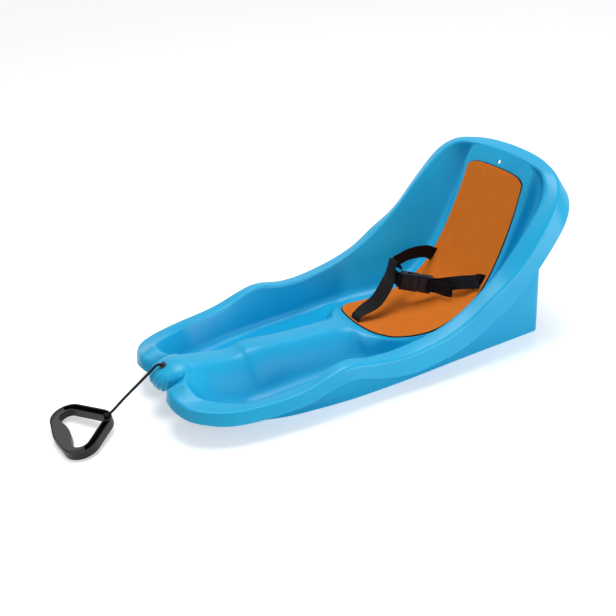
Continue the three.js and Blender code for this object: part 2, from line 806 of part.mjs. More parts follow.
function cordDrum() {
  const bore = axle_radius + seam_gap;
  const inner = drum_start + drum_flange;
  const outer = drum_end - drum_flange;
  const profile = [
    [bore, drum_start],
    [drum_radius, drum_start],
    [drum_radius, inner],
    [drum_core_radius, inner],
    [drum_core_radius, outer],
    [drum_radius, outer],
    [drum_radius, drum_end],
    [bore, drum_end],
    [bore, drum_start],
  ];
  return atReel(turnedOnX(profile, 32));
}

function drumWinding() {
  const from = drum_start + drum_flange + seam_gap;
  const to = drum_end - drum_flange - seam_gap;
  return atReel(turnedOnX(tubeProfile(drum_core_radius + seam_gap, winding_radius, from, to), 32));
}

// Flat coil spring beside the drum, one strip that winds outwards
function recoilSpring() {
  const from = drum_end + drum_clearance;
  const inner = axle_radius + seam_gap + spring_strip;
  const steps = spring_turns * 16;
  const rows = [];
  for (let i = 0; i <= steps; i += 1) {
    const angle = (i / 16) * 2 * Math.PI;
    const radius = THREE.MathUtils.lerp(inner, spring_radius, i / steps);
    const y = radius * Math.cos(angle);
    const z = radius * Math.sin(angle);
    rows.push([new THREE.Vector3(from, y, z), new THREE.Vector3(from + spring_width, y, z)]);
  }
  return atReel(thicken(sheet(rows), spring_strip / 2, spring_strip / 2));
}

function reelAxle() {
  return atReel(turnedOnX(rodProfile(axle_radius, -reel_half, reel_half), 24));
}

function coverScrew(degrees) {
  const angle = THREE.MathUtils.degToRad(degrees);
  const head = reel_half + seam_gap;
  const profile = [
    [0, head + screw_head],
    [screw_head_radius, head + screw_head],
    [screw_head_radius, head],
    [screw_radius, head],
    [screw_radius, head - screw_length],
    [0, head - screw_length],
  ].reverse();
  const screw = turnedOnX(profile, 12);
  return atReel(screw.translate(0, ear_centre * Math.cos(angle), ear_centre * Math.sin(angle)));
}

function mountScrew(side) {
  const head = -lug_thickness - seam_gap;
  const profile = [
    [0, head - screw_head],
    [screw_head_radius, head - screw_head],
    [screw_head_radius, head],
    [screw_radius, head],
    [screw_radius, head + mount_screw_length - seam_gap],
    [0, head + mount_screw_length - seam_gap],
  ].map(([r, z]) => new THREE.Vector2(r, z));
  const screw = new THREE.LatheGeometry(profile, 12).rotateX(Math.PI / 2);
  return screw.translate(side * lug_x, reel_y, lug_top);
}

function cordEyelet() {
  const profile = [
    [eyelet_bore_radius, -eyelet_length],
    [eyelet_sleeve_radius, -eyelet_length],
    [eyelet_sleeve_radius, eyelet_sink + seam_gap],
    [eyelet_flange_radius, eyelet_sink + seam_gap],
    [eyelet_flange_radius - eyelet_flange / 2, eyelet_sink + seam_gap + eyelet_flange],
    [eyelet_bore_radius, eyelet_sink + seam_gap + eyelet_flange],
    [eyelet_bore_radius, -eyelet_length],
  ].map(([r, z]) => new THREE.Vector2(r, z));
  return new THREE.LatheGeometry(profile, 24).rotateX(Math.PI / 2).applyMatrix4(eyeletFrame());
}

function cordTube(points, steps) {
  const curve = new THREE.CatmullRomCurve3(points, false, "centripetal");
  const section = new THREE.Shape().absarc(0, 0, cord_diameter / 2, 0, 2 * Math.PI);
  return new THREE.ExtrudeGeometry(section, { steps: steps, extrudePath: curve, curveSegments: 6 });
}

function reelCord() {
  const frame = eyeletFrame();
  const straight = [cord_diameter * 1.5, 0].map((gap) => -eyelet_length - seam_gap - gap);
  const [lead, mouth] = straight.map((z) => new THREE.Vector3(0, 0, z).applyMatrix4(frame));
  const height = reel_z + winding_radius + cord_diameter / 2 + seam_gap;
  const top = new THREE.Vector3(0, reel_y + reel_radius * cord_lead_share, height);
  return cordTube([top, lead, mouth], 8);
}

function pullCord() {
  const inside = [-eyelet_length, 0, eyelet_sink + eyelet_flange].map((z) => new THREE.Vector3(0, 0, z));
  const start = inside.map((point) => point.applyMatrix4(eyeletFrame()));
  const entry = THREE.MathUtils.degToRad(cord_entry_degrees);
  const end = [cord_entry_length, knot_radius + seam_gap].map((reach) => {
    const y = knot_y + reach * Math.cos(entry);
    const z = knot_height + reach * Math.sin(entry);
    return new THREE.Vector3(handle_apex_shift, y, z).applyMatrix4(handleFrame());
  });
  return cordTube([...start, ...cord_route.map((p) => new THREE.Vector3(...p)), ...end], 22);
}

// Three corner circles of one radius joined by straight sides, the grip's side bent out by a fourth circle
function roundedTriangle(radius, bulge = 0) {
  const r = handle_corner_radius;
  const corners = [
    new THREE.Vector2(-handle_width / 2 + r, r),
    new THREE.Vector2(0, r - bulge),
    new THREE.Vector2(handle_width / 2 - r, r),
    new THREE.Vector2(handle_apex_shift, handle_height - r),
  ];
  const shape = new THREE.Shape();
  corners.forEach((corner, i) => {
    const before = corners[(i + corners.length - 1) % corners.length];
    const after = corners[(i + 1) % corners.length];
    const enter = Math.atan2(corner.y - before.y, corner.x - before.x) - Math.PI / 2;
    const leave = Math.atan2(after.y - corner.y, after.x - corner.x) - Math.PI / 2;
    shape.absarc(corner.x, corner.y, radius, enter, leave, false);
  });
  return shape;
}

function raised(shape, depth) {
  return new THREE.ExtrudeGeometry(shape, { depth: depth, bevelEnabled: false, curveSegments: 8 });
}

function handleFrame() {
  const [x, y, z] = handle_tilt_degrees.map(THREE.MathUtils.degToRad);
  const turn = new THREE.Quaternion().setFromEuler(new THREE.Euler(x, y, z, "ZYX"));
  return new THREE.Matrix4().compose(new THREE.Vector3(...handle_base), turn, new THREE.Vector3(1, 1, 1));
}

function pullHandle() {
  const r = handle_corner_radius;
  const outer = solid(raised(roundedTriangle(r, grip_bulge), handle_thickness));
  const window = raised(roundedTriangle(r - handle_band), handle_thickness * 3);
  const grip_face = new THREE.CylinderGeometry(grip_round, grip_round, handle_thickness * 4, 96);
  const round = solid(grip_face.rotateX(Math.PI / 2).translate(0, grip_depth - grip_round, 0));
  const hole = solid(window.translate(0, 0, -handle_thickness)).subtract(round);
  let channel = solid(raised(roundedTriangle(r - handle_wall), handle_thickness));
  const core = raised(roundedTriangle(r - handle_band + handle_wall), handle_thickness);
  channel = channel.subtract(solid(core));
  channel = channel.translate([0, 0, handle_thickness - channel_depth]);
  const grip = box([-handle_width, -r, -cut_overrun], [handle_width, r, 2 * handle_thickness]);
  channel = channel.subtract(solid(grip));
  const apex = handle_height - handle_band - handle_wall;
  const rib_top = handle_thickness * rib_height_share;
  for (const side of [-1, 1]) {
    const rib = box([-handle_rib / 2, apex, 0], [handle_rib / 2, handle_height, rib_top]);
    channel = channel.subtract(solid(rib.translate(handle_apex_shift + side * knot_radius * 2, 0, 0)));
  }
  const bore_radius = cord_diameter / 2 + handle_bore_gap;
  const bore = new THREE.CylinderGeometry(bore_radius, bore_radius, handle_band, 20);
  bore.translate(0, handle_band / 2, 0).rotateX(THREE.MathUtils.degToRad(cord_entry_degrees));
  const body = outer.subtract(hole).subtract(channel);
  const notched = body.subtract(solid(bore.translate(handle_apex_shift, knot_y, knot_height)));
  return surface(notched).applyMatrix4(handleFrame());
}

function handleKnot() {
  const knot = new THREE.SphereGeometry(knot_radius, 12, 8).scale(1, knot_length_share, 1);
  return knot.translate(handle_apex_shift, knot_y, knot_height).applyMatrix4(handleFrame());
}

// Buckle frame: X from the socket to the plug, Y out of its face, Z across the webbing
function buckleFrame() {
  const start = new THREE.Vector3(...buckle_start);
  const along = new THREE.Vector3(...buckle_end).sub(start).normalize();
  const face = new THREE.Vector3(0, 0, 1).cross(along).normalize().negate();
  const across = along.clone().cross(face);
  return new THREE.Matrix4().makeBasis(along, face, across).setPosition(start);
}

function roundedPlate(length, width, thickness, radius) {
  const shape = new THREE.Shape();
  const half = width / 2;
  shape.absarc(length - radius, half - radius, radius, 0, Math.PI / 2, false);
  shape.absarc(radius, half - radius, radius, Math.PI / 2, Math.PI, false);
  shape.absarc(radius, radius - half, radius, Math.PI, 1.5 * Math.PI, false);
  shape.absarc(length - radius, radius - half, radius, 1.5 * Math.PI, 2 * Math.PI, false);
  const extrusion = { depth: thickness, bevelEnabled: false, curveSegments: 5 };
  return new THREE.ExtrudeGeometry(shape, extrusion).rotateX(Math.PI / 2).translate(0, thickness / 2, 0);
}

function centredBox(x0, x1, y, z) {
  return solid(box([x0, -y / 2, -z / 2], [x1, y / 2, z / 2]));
}

function buckleSocket() {
  const inner = socket_width - 2 * socket_wall - socket_fit;
  let body = solid(roundedPlate(socket_length, socket_width, socket_thickness, socket_wall));
  const cavity = socket_thickness - 2 * socket_wall;
  body = body.subtract(centredBox(socket_back, socket_length + cut_overrun, cavity, inner));
  const window_end = window_start + window_length;
  body = body.subtract(centredBox(window_start, window_end, cavity, socket_width + cut_overrun));
  body = body.subtract(centredBox(bar_length, bar_length + strap_slot, socket_thickness * 2, slot_length));
  for (const side of [-1, 1]) {
    const y = side * (bar_thickness / 2 + socket_thickness / 2);
    const relief = centredBox(-cut_overrun, bar_length + bar_relief, socket_thickness, slot_length);
    body = body.subtract(relief.translate([0, y, 0]));
  }
  return surface(body).applyMatrix4(buckleFrame());
}

function bucklePlug() {
  const plate = roundedPlate(plug_length, socket_width, plug_thickness, socket_wall);
  let body = solid(plate.translate(plug_start, 0, 0));
  const end = plug_start + plug_length;
  const outer = end - plug_bar;
  const inner = outer - strap_slot;
  body = body.subtract(centredBox(inner, outer, plug_thickness * 2, slot_length));
  for (const side of [-1, 1]) {
    const y = side * (bar_thickness / 2 + plug_thickness / 2);
    const relief = centredBox(inner, end + cut_overrun, plug_thickness, slot_length);
    body = body.subtract(relief.translate([0, y, 0]));
  }
  const tip = plug_start - arm_length;
  body = body.add(centredBox(tip, plug_start + weld_overlap, tongue_thickness, tongue_width));
  return surface(body).applyMatrix4(buckleFrame());
}

function buckleArm(side) {
  const root = plug_start - seam_gap;
  const tip = root - arm_length;
  const shape = new THREE.Shape();
  shape.moveTo(root, -arm_width / 2);
  shape.lineTo(root, arm_width / 2);
  shape.lineTo(tip + hook_length + 2 * hook_slope, arm_width / 2);
  shape.lineTo(tip + hook_length + hook_slope, arm_width / 2 + hook_rise);
  shape.lineTo(tip + hook_length / 2, arm_width / 2 + hook_rise);
  shape.lineTo(tip, arm_width / 2);
  shape.lineTo(tip, -arm_width / 2);
  const geometry = new THREE.ExtrudeGeometry(shape, { depth: tongue_thickness, bevelEnabled: false });
  geometry.rotateX(Math.PI / 2).translate(0, tongue_thickness / 2, arm_spread);
  if (side < 0) {
    geometry.rotateX(Math.PI);
  }
  return geometry.applyMatrix4(buckleFrame());
}

// Strap points in the buckle's frame
function atBuckle(points) {
  return points.map(([x, y]) => new THREE.Vector3(x, y, 0).applyMatrix4(buckleFrame()));
}

// Where a strap goes through the hull, from behind to in front
function throughSlot(frame) {
  const heights = [-belt_tail, -tray_depth, 2 * tray_depth];
  return heights.map((z) => new THREE.Vector3(0, 0, z).applyMatrix4(frame));
}

function rightBelt() {
  const slot = profileFrame(belt_slot_share, -belt_slot_x);
  const loop = shared([
    [-0.364, 0.288, 0.325],
    [-0.347, 0.262, 0.345],
    [-0.327, 0.225, 0.357],
    [-0.315, 0.196, 0.348],
    [-0.312, 0.178, 0.334],
    [-0.288, 0.166, 0.316],
    [-0.225, 0.1615, 0.292],
    [-0.175, 0.167, 0.272],
  ]);
  const eye = bar_length / 2;
  const end = atBuckle([
    [-wrap * 0.6, -wrap],
    [eye, -wrap],
    [bar_length + wrap * 0.85, 0],
    [eye, wrap],
    [-wrap, wrap],
  ]);
  const points = [...throughSlot(slot), ...loop, ...end];
  return ribbon(points, 60, axisOf(slot, 1), axisOf(buckleFrame(), 2).negate(), 0.5);
}

function leftBelt() {
  const slot = profileFrame(belt_slot_share, belt_slot_x);
  const end = plug_start + plug_length;
  const eye = end - plug_bar / 2;
  const hold = atBuckle([
    [end + wrap * 2, -wrap],
    [eye, -wrap],
    [end - plug_bar - wrap * 0.85, 0],
    [eye, wrap],
    [end + wrap * 2, wrap * 1.2],
  ]);
  const free = shared([
    [0.194, 0.247, 0.226],
    [0.228, 0.256, 0.222],
  ]);
  const sag = shared([
    [0.334, 0.296, 0.284],
    [0.265, 0.277, 0.277],
    [0.190, 0.264, 0.260],
  ]);
  const points = [...throughSlot(slot), ...sag, ...hold, ...free];
  return ribbon(points, 60, axisOf(slot, 1), axisOf(buckleFrame(), 2).negate(), 0.5);
}

function crotchStrap() {
  const slot = profileFrame(crotch_slot_share, 0);
  const route = shared([
    [-0.020, 0.036, 0.190],
    [-0.061, 0.081, 0.207],
    [-0.107, 0.113, 0.248],
    [-0.165, 0.140, 0.296],
    [-0.200, 0.153, 0.345],
    [-0.208, 0.163, 0.392],
    [-0.208, 0.174, 0.352],
    [-0.208, 0.176, 0.330],
  ]);
  const across = new THREE.Vector3(1, 0, 0);
  const facing = new THREE.Vector3(0.66, 0.62, -0.42);
  return ribbon([...throughSlot(slot), ...route], 44, across, facing, 0.4, 0.5);
}

function stopper(frame, turned) {
  const across = stopper_width / 2;
  const along = stopper_length / 2;
  const blank = box([-across, -along, 0], [across, along, stopper_thickness]);
  const slot_across = slot_width / 2;
  const slot_along = slot_length / 2;
  const slot = box([-slot_across, -slot_along, -cut_overrun], [slot_across, slot_along, 2 * cut_overrun]);
  const plate = surface(solid(blank).subtract(solid(slot)));
  if (turned) {
    plate.rotateZ(Math.PI / 2);
  }
  const depth = tray_depth + tray_wall + stopper_gap + stopper_thickness;
  return plate.translate(0, 0, -depth).applyMatrix4(frame);
}

const hull_blue = 0x1a98d8;
const pad_orange = 0xd07030;
const webbing_black = 0x0e0c11;
const plastic_black = 0x161616;
const reel_grey = 0x2a2d30;
const steel = 0xb4b8bc;
const sled = new THREE.Group();

function part(name, geometry, colour, roughness, metalness = 0) {
  const look = { color: colour, roughness: roughness, metalness: metalness };
  const material = new THREE.MeshStandardMaterial(look);
  const mesh = new THREE.Mesh(geometry, material);
  mesh.name = name;
  sled.add(mesh);
}

part("sled_shell", sledShell(), hull_blue, 0.45);
part("seat_pad", seatPad(), pad_orange, 0.8);
part("right_belt", rightBelt(), webbing_black, 0.85);
part("left_belt", leftBelt(), webbing_black, 0.85);
part("crotch_strap", crotchStrap(), webbing_black, 0.85);
part("right_stopper", stopper(profileFrame(belt_slot_share, -belt_slot_x), false), plastic_black, 0.5);
part("left_stopper", stopper(profileFrame(belt_slot_share, belt_slot_x), false), plastic_black, 0.5);
part("crotch_stopper", stopper(profileFrame(crotch_slot_share, 0), true), plastic_black, 0.5);
part("buckle_socket", buckleSocket(), plastic_black, 0.45);
part("buckle_plug", bucklePlug(), plastic_black, 0.45);
part("buckle_lower_arm", buckleArm(1), plastic_black, 0.45);
part("buckle_upper_arm", buckleArm(-1), plastic_black, 0.45);
part("reel_housing", reelHousing(), reel_grey, 0.55);
part("reel_cover", reelCover(), reel_grey, 0.55);
part("cord_drum", cordDrum(), reel_grey, 0.5);
part("drum_winding", drumWinding(), webbing_black, 0.85);
part("recoil_spring", recoilSpring(), steel, 0.35, 1);
part("reel_axle", reelAxle(), steel, 0.3, 1);
ear_degrees.forEach((degrees, i) => part(`cover_screw_${i + 1}`, coverScrew(degrees), steel, 0.35, 1));
part("mount_screw_right", mountScrew(-1), steel, 0.35, 1);
part("mount_screw_left", mountScrew(1), steel, 0.35, 1);
part("cord_eyelet", cordEyelet(), plastic_black, 0.5);
part("reel_cord", reelCord(), webbing_black, 0.85);
part("pull_cord", pullCord(), webbing_black, 0.85);
part("pull_handle", pullHandle(), plastic_black, 0.5);
part("handle_knot", handleKnot(), webbing_black, 0.85);

export default sled;
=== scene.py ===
import math

import bmesh
import bpy
from mathutils import Euler, Matrix, Vector
from mathutils.bvhtree import BVHTree


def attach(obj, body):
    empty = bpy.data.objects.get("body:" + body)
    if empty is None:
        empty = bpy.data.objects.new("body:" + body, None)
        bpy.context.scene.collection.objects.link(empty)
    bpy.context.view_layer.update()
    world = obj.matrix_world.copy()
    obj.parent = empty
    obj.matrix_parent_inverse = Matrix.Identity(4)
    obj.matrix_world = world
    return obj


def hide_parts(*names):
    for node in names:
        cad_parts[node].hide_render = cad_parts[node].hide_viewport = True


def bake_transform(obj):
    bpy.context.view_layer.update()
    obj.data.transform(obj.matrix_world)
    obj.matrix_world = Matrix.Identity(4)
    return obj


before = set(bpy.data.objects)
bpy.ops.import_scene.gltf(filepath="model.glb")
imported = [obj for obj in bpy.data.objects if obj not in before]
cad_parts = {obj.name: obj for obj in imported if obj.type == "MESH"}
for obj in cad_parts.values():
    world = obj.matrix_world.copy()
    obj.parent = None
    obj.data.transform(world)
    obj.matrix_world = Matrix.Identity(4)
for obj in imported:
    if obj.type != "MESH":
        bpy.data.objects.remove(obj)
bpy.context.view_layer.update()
scene = bpy.context.scene
MM = 0.001


# ---------------------------------------------------------------- camera
PICTURE_SIDE, SENSOR_WIDTH, FOCAL_PIXELS = 616, 36, 888.269815


def add_camera():
    """A camera at a distance from its target, by an azimuth from the front, an elevation and a roll."""
    azimuth, elevation, roll = 1.10852240, 0.495012340, -0.0812092545
    target = Vector((-0.0194626, -0.0733400, 0.0885059))
    distance = 1.56530679
    back = Vector(
        (
            math.sin(azimuth) * math.cos(elevation),
            -math.cos(azimuth) * math.cos(elevation),
            math.sin(elevation),
        )
    )
    right = Vector((math.cos(azimuth), math.sin(azimuth), 0))
    up = back.cross(right)
    turned_right = right * math.cos(roll) + up * math.sin(roll)
    turned_up = up * math.cos(roll) - right * math.sin(roll)
    data = bpy.data.cameras.new("camera")
    data.sensor_width = SENSOR_WIDTH
    data.lens = SENSOR_WIDTH * FOCAL_PIXELS / PICTURE_SIDE
    data.clip_start = 0.05
    camera = bpy.data.objects.new("camera", data)
    axes = Matrix((turned_right, turned_up, back)).transposed().to_4x4()
    camera.matrix_world = Matrix.Translation(target + back * distance) @ axes
    scene.collection.objects.link(camera)
    scene.camera = camera


add_camera()
scene.view_settings.view_transform = "Standard"


# ---------------------------------------------------------------- materials
def colour(code):
    """A linear colour from an sRGB hex value."""
    parts = [int(code[i : i + 2], 16) / 255 for i in (1, 3, 5)]
    linear = [c / 12.92 if c <= 0.04045 else ((c + 0.055) / 1.055) ** 2.4 for c in parts]
    return (*linear, 1.0)


def node(tree, kind, settings=None, stops=(), **links):
    """One shader node, with its settings and colour stops, and its inputs set to values or linked to sockets."""
    new = tree.nodes.new(kind)
    for key, value in (settings or {}).items():
        setattr(new, key, value)
    for element, (place, shade) in zip(new.color_ramp.elements if stops else (), stops):
        element.position = place
        element.color = colour(shade)
    for key, value in links.items():
        numbered = key[0] == "_" and key[1:].isdigit()
        socket = new.inputs[int(key[1:]) if numbered else key.replace("_", " ")]
        if isinstance(value, bpy.types.NodeSocket):
            tree.links.new(value, socket)
        else:
            socket.default_value = value
    return new


def material(name, base, roughness, **fixed):
    """A material, its tree and its shader, with the shader's inputs that don't vary over the surface."""
    made = bpy.data.materials.new(name)
    made.use_nodes = True
    made.diffuse_color = colour(base)
    tree = made.node_tree
    shader = tree.nodes["Principled BSDF"]
    shader.inputs["Base Color"].default_value = colour(base)
    shader.inputs["Roughness"].default_value = roughness
    for key, value in fixed.items():
        shader.inputs[key.replace("_", " ")].default_value = value
    return made, tree, shader


def moulded_polyethylene():
    """Blow-moulded HDPE: a waxy, even blue with a broad soft highlight and a faint uneven skin."""
    made, tree, shader = material("moulded_polyethylene", "#0AA9DA", 0.38, IOR=1.5, Specular_IOR_Level=0.35)
    place = node(tree, "ShaderNodeTexCoord").outputs["Object"]
    cloud = node(tree, "ShaderNodeTexNoise", Vector=place, Scale=9.0, Detail=2.0)
    shade = node(tree, "ShaderNodeValToRGB", stops=[(0.3, "#07A5D7"), (0.7, "#0DADDD")], _0=cloud.outputs[0])
    tree.links.new(shade.outputs[0], shader.inputs["Base Color"])
    grain = node(tree, "ShaderNodeTexNoise", Vector=place, Scale=700.0, Detail=2.0)
    rough = node(tree, "ShaderNodeMapRange", Value=grain.outputs[0], To_Min=0.33, To_Max=0.40)
    tree.links.new(rough.outputs[0], shader.inputs["Roughness"])
    relief = node(tree, "ShaderNodeBump", Strength=0.12, Distance=0.0002, Height=grain.outputs[0])
    tree.links.new(relief.outputs[0], shader.inputs["Normal"])
    return made


def eva_foam():
    """Closed-cell EVA foam: a dry orange skin with fine cells and slight mottling."""
    made, tree, shader = material("eva_foam", "#DC7622", 0.85, IOR=1.45, Specular_IOR_Level=0.15)
    place = node(tree, "ShaderNodeTexCoord").outputs["Object"]
    cells = node(tree, "ShaderNodeTexVoronoi", Vector=place, Scale=900.0)
    cloud = node(tree, "ShaderNodeTexNoise", Vector=place, Scale=60.0, Detail=4.0)
    shade = node(tree, "ShaderNodeValToRGB", stops=[(0.3, "#D9731F"), (0.7, "#DE7825")], _0=cloud.outputs[0])
    tree.links.new(shade.outputs[0], shader.inputs["Base Color"])
    relief = node(tree, "ShaderNodeBump", Strength=0.25, Distance=0.0004, Height=cells.outputs[0])
    tree.links.new(relief.outputs[0], shader.inputs["Normal"])
    return made


def edge_foam_and_gap_shade():
    """The cut edge and underside of the pad in near-black charcoal: partly a dark layer of the same foam, partly
    painted shade of the gap round the pad.
    """
    made, tree, shader = material("edge_foam_and_gap_shade", "#17110F", 0.9)
    place = node(tree, "ShaderNodeTexCoord").outputs["Object"]
    cells = node(tree, "ShaderNodeTexVoronoi", Vector=place, Scale=900.0)
    relief = node(tree, "ShaderNodeBump", Strength=0.3, Distance=0.0004, Height=cells.outputs[0])
    tree.links.new(relief.outputs[0], shader.inputs["Normal"])
    return made


def polypropylene_webbing():
    """Woven polypropylene webbing: black ribs across the strap, crossed by fainter warp columns."""
    made, tree, shader = material("polypropylene_webbing", "#0A080C", 0.68, IOR=1.49, Specular_IOR_Level=0.15)
    place = node(tree, "ShaderNodeTexCoord").outputs["UV"]
    # UV runs in millimetres: ribs 1.6 mm apart along the strap, warp columns 2.2 mm apart across it
    ribs = node(tree, "ShaderNodeTexWave", {"bands_direction": "Y"}, Vector=place, Scale=0.2, Distortion=0.6)
    columns = node(tree, "ShaderNodeTexWave", {"bands_direction": "X"}, Vector=place, Scale=0.14)
    weave = node(tree, "ShaderNodeMath", {"operation": "MULTIPLY"}, _0=ribs.outputs[1], _1=columns.outputs[1])
    shade = node(tree, "ShaderNodeValToRGB", stops=[(0.0, "#050406"), (1.0, "#19161D")], _0=weave.outputs[0])
    tree.links.new(shade.outputs[0], shader.inputs["Base Color"])
    relief = node(tree, "ShaderNodeBump", Strength=0.7, Distance=0.0005, Height=weave.outputs[0])
    tree.links.new(relief.outputs[0], shader.inputs["Normal"])
    return made


def acetal():
    """Injection-moulded acetal of buckles: satin black with a fine spark-eroded grain."""
    made, tree, shader = material("acetal", "#1B1A1D", 0.42, IOR=1.48)
    place = node(tree, "ShaderNodeTexCoord").outputs["Object"]
    grain = node(tree, "ShaderNodeTexNoise", Vector=place, Scale=1800.0, Detail=3.0)
    rough = node(tree, "ShaderNodeMapRange", Value=grain.outputs[0], To_Min=0.34, To_Max=0.5)
    tree.links.new(rough.outputs[0], shader.inputs["Roughness"])
    relief = node(tree, "ShaderNodeBump", Strength=0.2, Distance=0.0002, Height=grain.outputs[0])
    tree.links.new(relief.outputs[0], shader.inputs["Normal"])
    return made


def handle_polypropylene():
    """Black moulded polypropylene of the handle, with the matte grey face of its grip."""
    made, tree, shader = material("handle_polypropylene", "#0B0B0C", 0.34, IOR=1.49, Specular_IOR_Level=0.3)
    place = node(tree, "ShaderNodeTexCoord").outputs["Object"]
    flat = node(
        tree,
        "ShaderNodeMapping",
        {"vector_type": "TEXTURE"},
        Vector=place,
        Location=HANDLE.to_translation(),
        Rotation=HANDLE.to_euler(),
    )
    x, y, z = node(tree, "ShaderNodeSeparateXYZ", Vector=flat.outputs[0]).outputs
    math_node = "ShaderNodeMath"
    # how far a point is from the line between the grip's two corner centres
    corner_x = HANDLE_WIDTH / 2 - HANDLE_CORNER
    across = node(tree, math_node, {"operation": "ABSOLUTE"}, _0=x)
    past = node(tree, math_node, {"operation": "SUBTRACT", "use_clamp": True}, _0=across.outputs[0], _1=corner_x)
    below = node(tree, math_node, {"operation": "SUBTRACT"}, _0=HANDLE_CORNER, _1=y)
    offset = node(tree, "ShaderNodeCombineXYZ", X=past.outputs[0], Y=below.outputs[0])
    away = node(tree, "ShaderNodeVectorMath", {"operation": "LENGTH"}, _0=offset.outputs[0]).outputs["Value"]
    # the grip side bulges most at its middle, by the square of the way to a corner centre, inside a dark border
    bend = 3.4
    border = HANDLE_CORNER + GRIP_BULGE - GRIP_BORDER
    square = node(tree, math_node, {"operation": "MULTIPLY"}, _0=x, _1=x)
    bent = node(tree, math_node, {"operation": "MULTIPLY_ADD"}, _0=square.outputs[0], _1=bend, _2=away)
    inside = node(tree, math_node, {"operation": "LESS_THAN"}, _0=bent.outputs[0], _1=border)
    side = node(tree, math_node, {"operation": "GREATER_THAN"}, _0=below.outputs[0], _1=-GRIP_BORDER)
    face = node(tree, math_node, {"operation": "GREATER_THAN"}, _0=z, _1=HANDLE_THICKNESS - HANDLE_EDGE)
    grip = node(tree, math_node, {"operation": "MULTIPLY"}, _0=inside.outputs[0], _1=side.outputs[0])
    mask = node(tree, math_node, {"operation": "MULTIPLY"}, _0=grip.outputs[0], _1=face.outputs[0]).outputs[0]
    shade = node(tree, "ShaderNodeValToRGB", stops=[(0.0, "#0B0B0C"), (1.0, "#454547")], _0=mask)
    tree.links.new(shade.outputs[0], shader.inputs["Base Color"])
    rough = node(tree, "ShaderNodeMapRange", Value=mask, To_Min=0.34, To_Max=0.7)
    tree.links.new(rough.outputs[0], shader.inputs["Roughness"])
    pebbles = node(tree, "ShaderNodeTexNoise", Vector=place, Scale=700.0, Detail=2.0)
    relief = node(tree, "ShaderNodeBump", Strength=0.2, Distance=0.0002, Height=pebbles.outputs[0])
    tree.links.new(relief.outputs[0], shader.inputs["Normal"])
    return made


def braided_cord():
    """Braided nylon cord: two crossing sets of strands about 1 mm wide."""
    made, tree, shader = material("braided_cord", "#0A090B", 0.65, IOR=1.53, Specular_IOR_Level=0.2)
    place = node(tree, "ShaderNodeTexCoord").outputs["UV"]
    left = node(tree, "ShaderNodeTexWave", {"bands_direction": "DIAGONAL"}, Vector=place, Scale=0.22)
    flip = node(tree, "ShaderNodeMapping", Vector=place, Scale=(-1.0, 1.0, 1.0))
    right = node(tree, "ShaderNodeTexWave", {"bands_direction": "DIAGONAL"}, Vector=flip.outputs[0], Scale=0.22)
    cross = node(tree, "ShaderNodeMath", {"operation": "MAXIMUM"}, _0=left.outputs[1], _1=right.outputs[1])
    shade = node(tree, "ShaderNodeValToRGB", stops=[(0.2, "#040305"), (1.0, "#151317")], _0=cross.outputs[0])
    tree.links.new(shade.outputs[0], shader.inputs["Base Color"])
    relief = node(tree, "ShaderNodeBump", Strength=0.8, Distance=0.0004, Height=cross.outputs[0])
    tree.links.new(relief.outputs[0], shader.inputs["Normal"])
    return made


def filled_nylon():
    """Glass-filled nylon of the reel: dark grey, matte, with a faint speckle."""
    made, tree, shader = material("filled_nylon", "#2A2D30", 0.55)
    place = node(tree, "ShaderNodeTexCoord").outputs["Object"]
    speckle = node(tree, "ShaderNodeTexNoise", Vector=place, Scale=1500.0, Detail=4.0)
    shade = node(tree, "ShaderNodeValToRGB", stops=[(0.35, "#23262A"), (0.7, "#33373B")], _0=speckle.outputs[0])
    tree.links.new(shade.outputs[0], shader.inputs["Base Color"])
    relief = node(tree, "ShaderNodeBump", Strength=0.25, Distance=0.0002, Height=speckle.outputs[0])
    tree.links.new(relief.outputs[0], shader.inputs["Normal"])
    return made


def zinc_plated_steel():
    """Zinc-plated steel of the screws, the axle and the spring."""
    made, tree, shader = material("zinc_plated_steel", "#B9BDC0", 0.28, Metallic=1.0)
    place = node(tree, "ShaderNodeTexCoord").outputs["Object"]
    haze = node(tree, "ShaderNodeTexNoise", Vector=place, Scale=400.0, Detail=3.0)
    rough = node(tree, "ShaderNodeMapRange", Value=haze.outputs[0], To_Min=0.2, To_Max=0.4)
    tree.links.new(rough.outputs[0], shader.inputs["Roughness"])
    return made


hull_plastic = moulded_polyethylene()
pad_foam = eva_foam()
pad_edge_and_gap_shade = edge_foam_and_gap_shade()
# near-black edge of the pad: partly dark foam, partly painted shade of the gap round it
webbing = polypropylene_webbing()
buckle_plastic = acetal()
cord_braid = braided_cord()
reel_plastic = filled_nylon()
steel = zinc_plated_steel()


# ---------------------------------------------------------------- mesh helpers
def keep(name, bm, *finishes):
    """A new object from a finished bmesh, smooth shaded."""
    for face in bm.faces:
        face.smooth = True
    mesh = bpy.data.meshes.new(name)
    bm.to_mesh(mesh)
    bm.free()
    for finish in finishes:
        mesh.materials.append(finish)
    made = bpy.data.objects.new(name, mesh)
    scene.collection.objects.link(made)
    return made


def modifier(piece, kind, **settings):
    new = piece.modifiers.new(kind.lower(), kind)
    for key, value in settings.items():
        setattr(new, key, value)
    return new


def applied(piece):
    """The piece with its modifiers made real."""
    graph = bpy.context.evaluated_depsgraph_get()
    mesh = bpy.data.meshes.new_from_object(piece.evaluated_get(graph))
    piece.modifiers.clear()
    old = piece.data
    piece.data = mesh
    mesh.name = old.name
    bpy.data.meshes.remove(old)
    return piece


def sharpen(piece, degrees=35):
    """Marks the edges that are sharper than an angle, so that smooth shading stops there."""
    bm = bmesh.new()
    bm.from_mesh(piece.data)
    for edge in bm.edges:
        edge.smooth = edge.is_manifold and edge.calc_face_angle(0) < math.radians(degrees)
    bm.to_mesh(piece.data)
    bm.free()


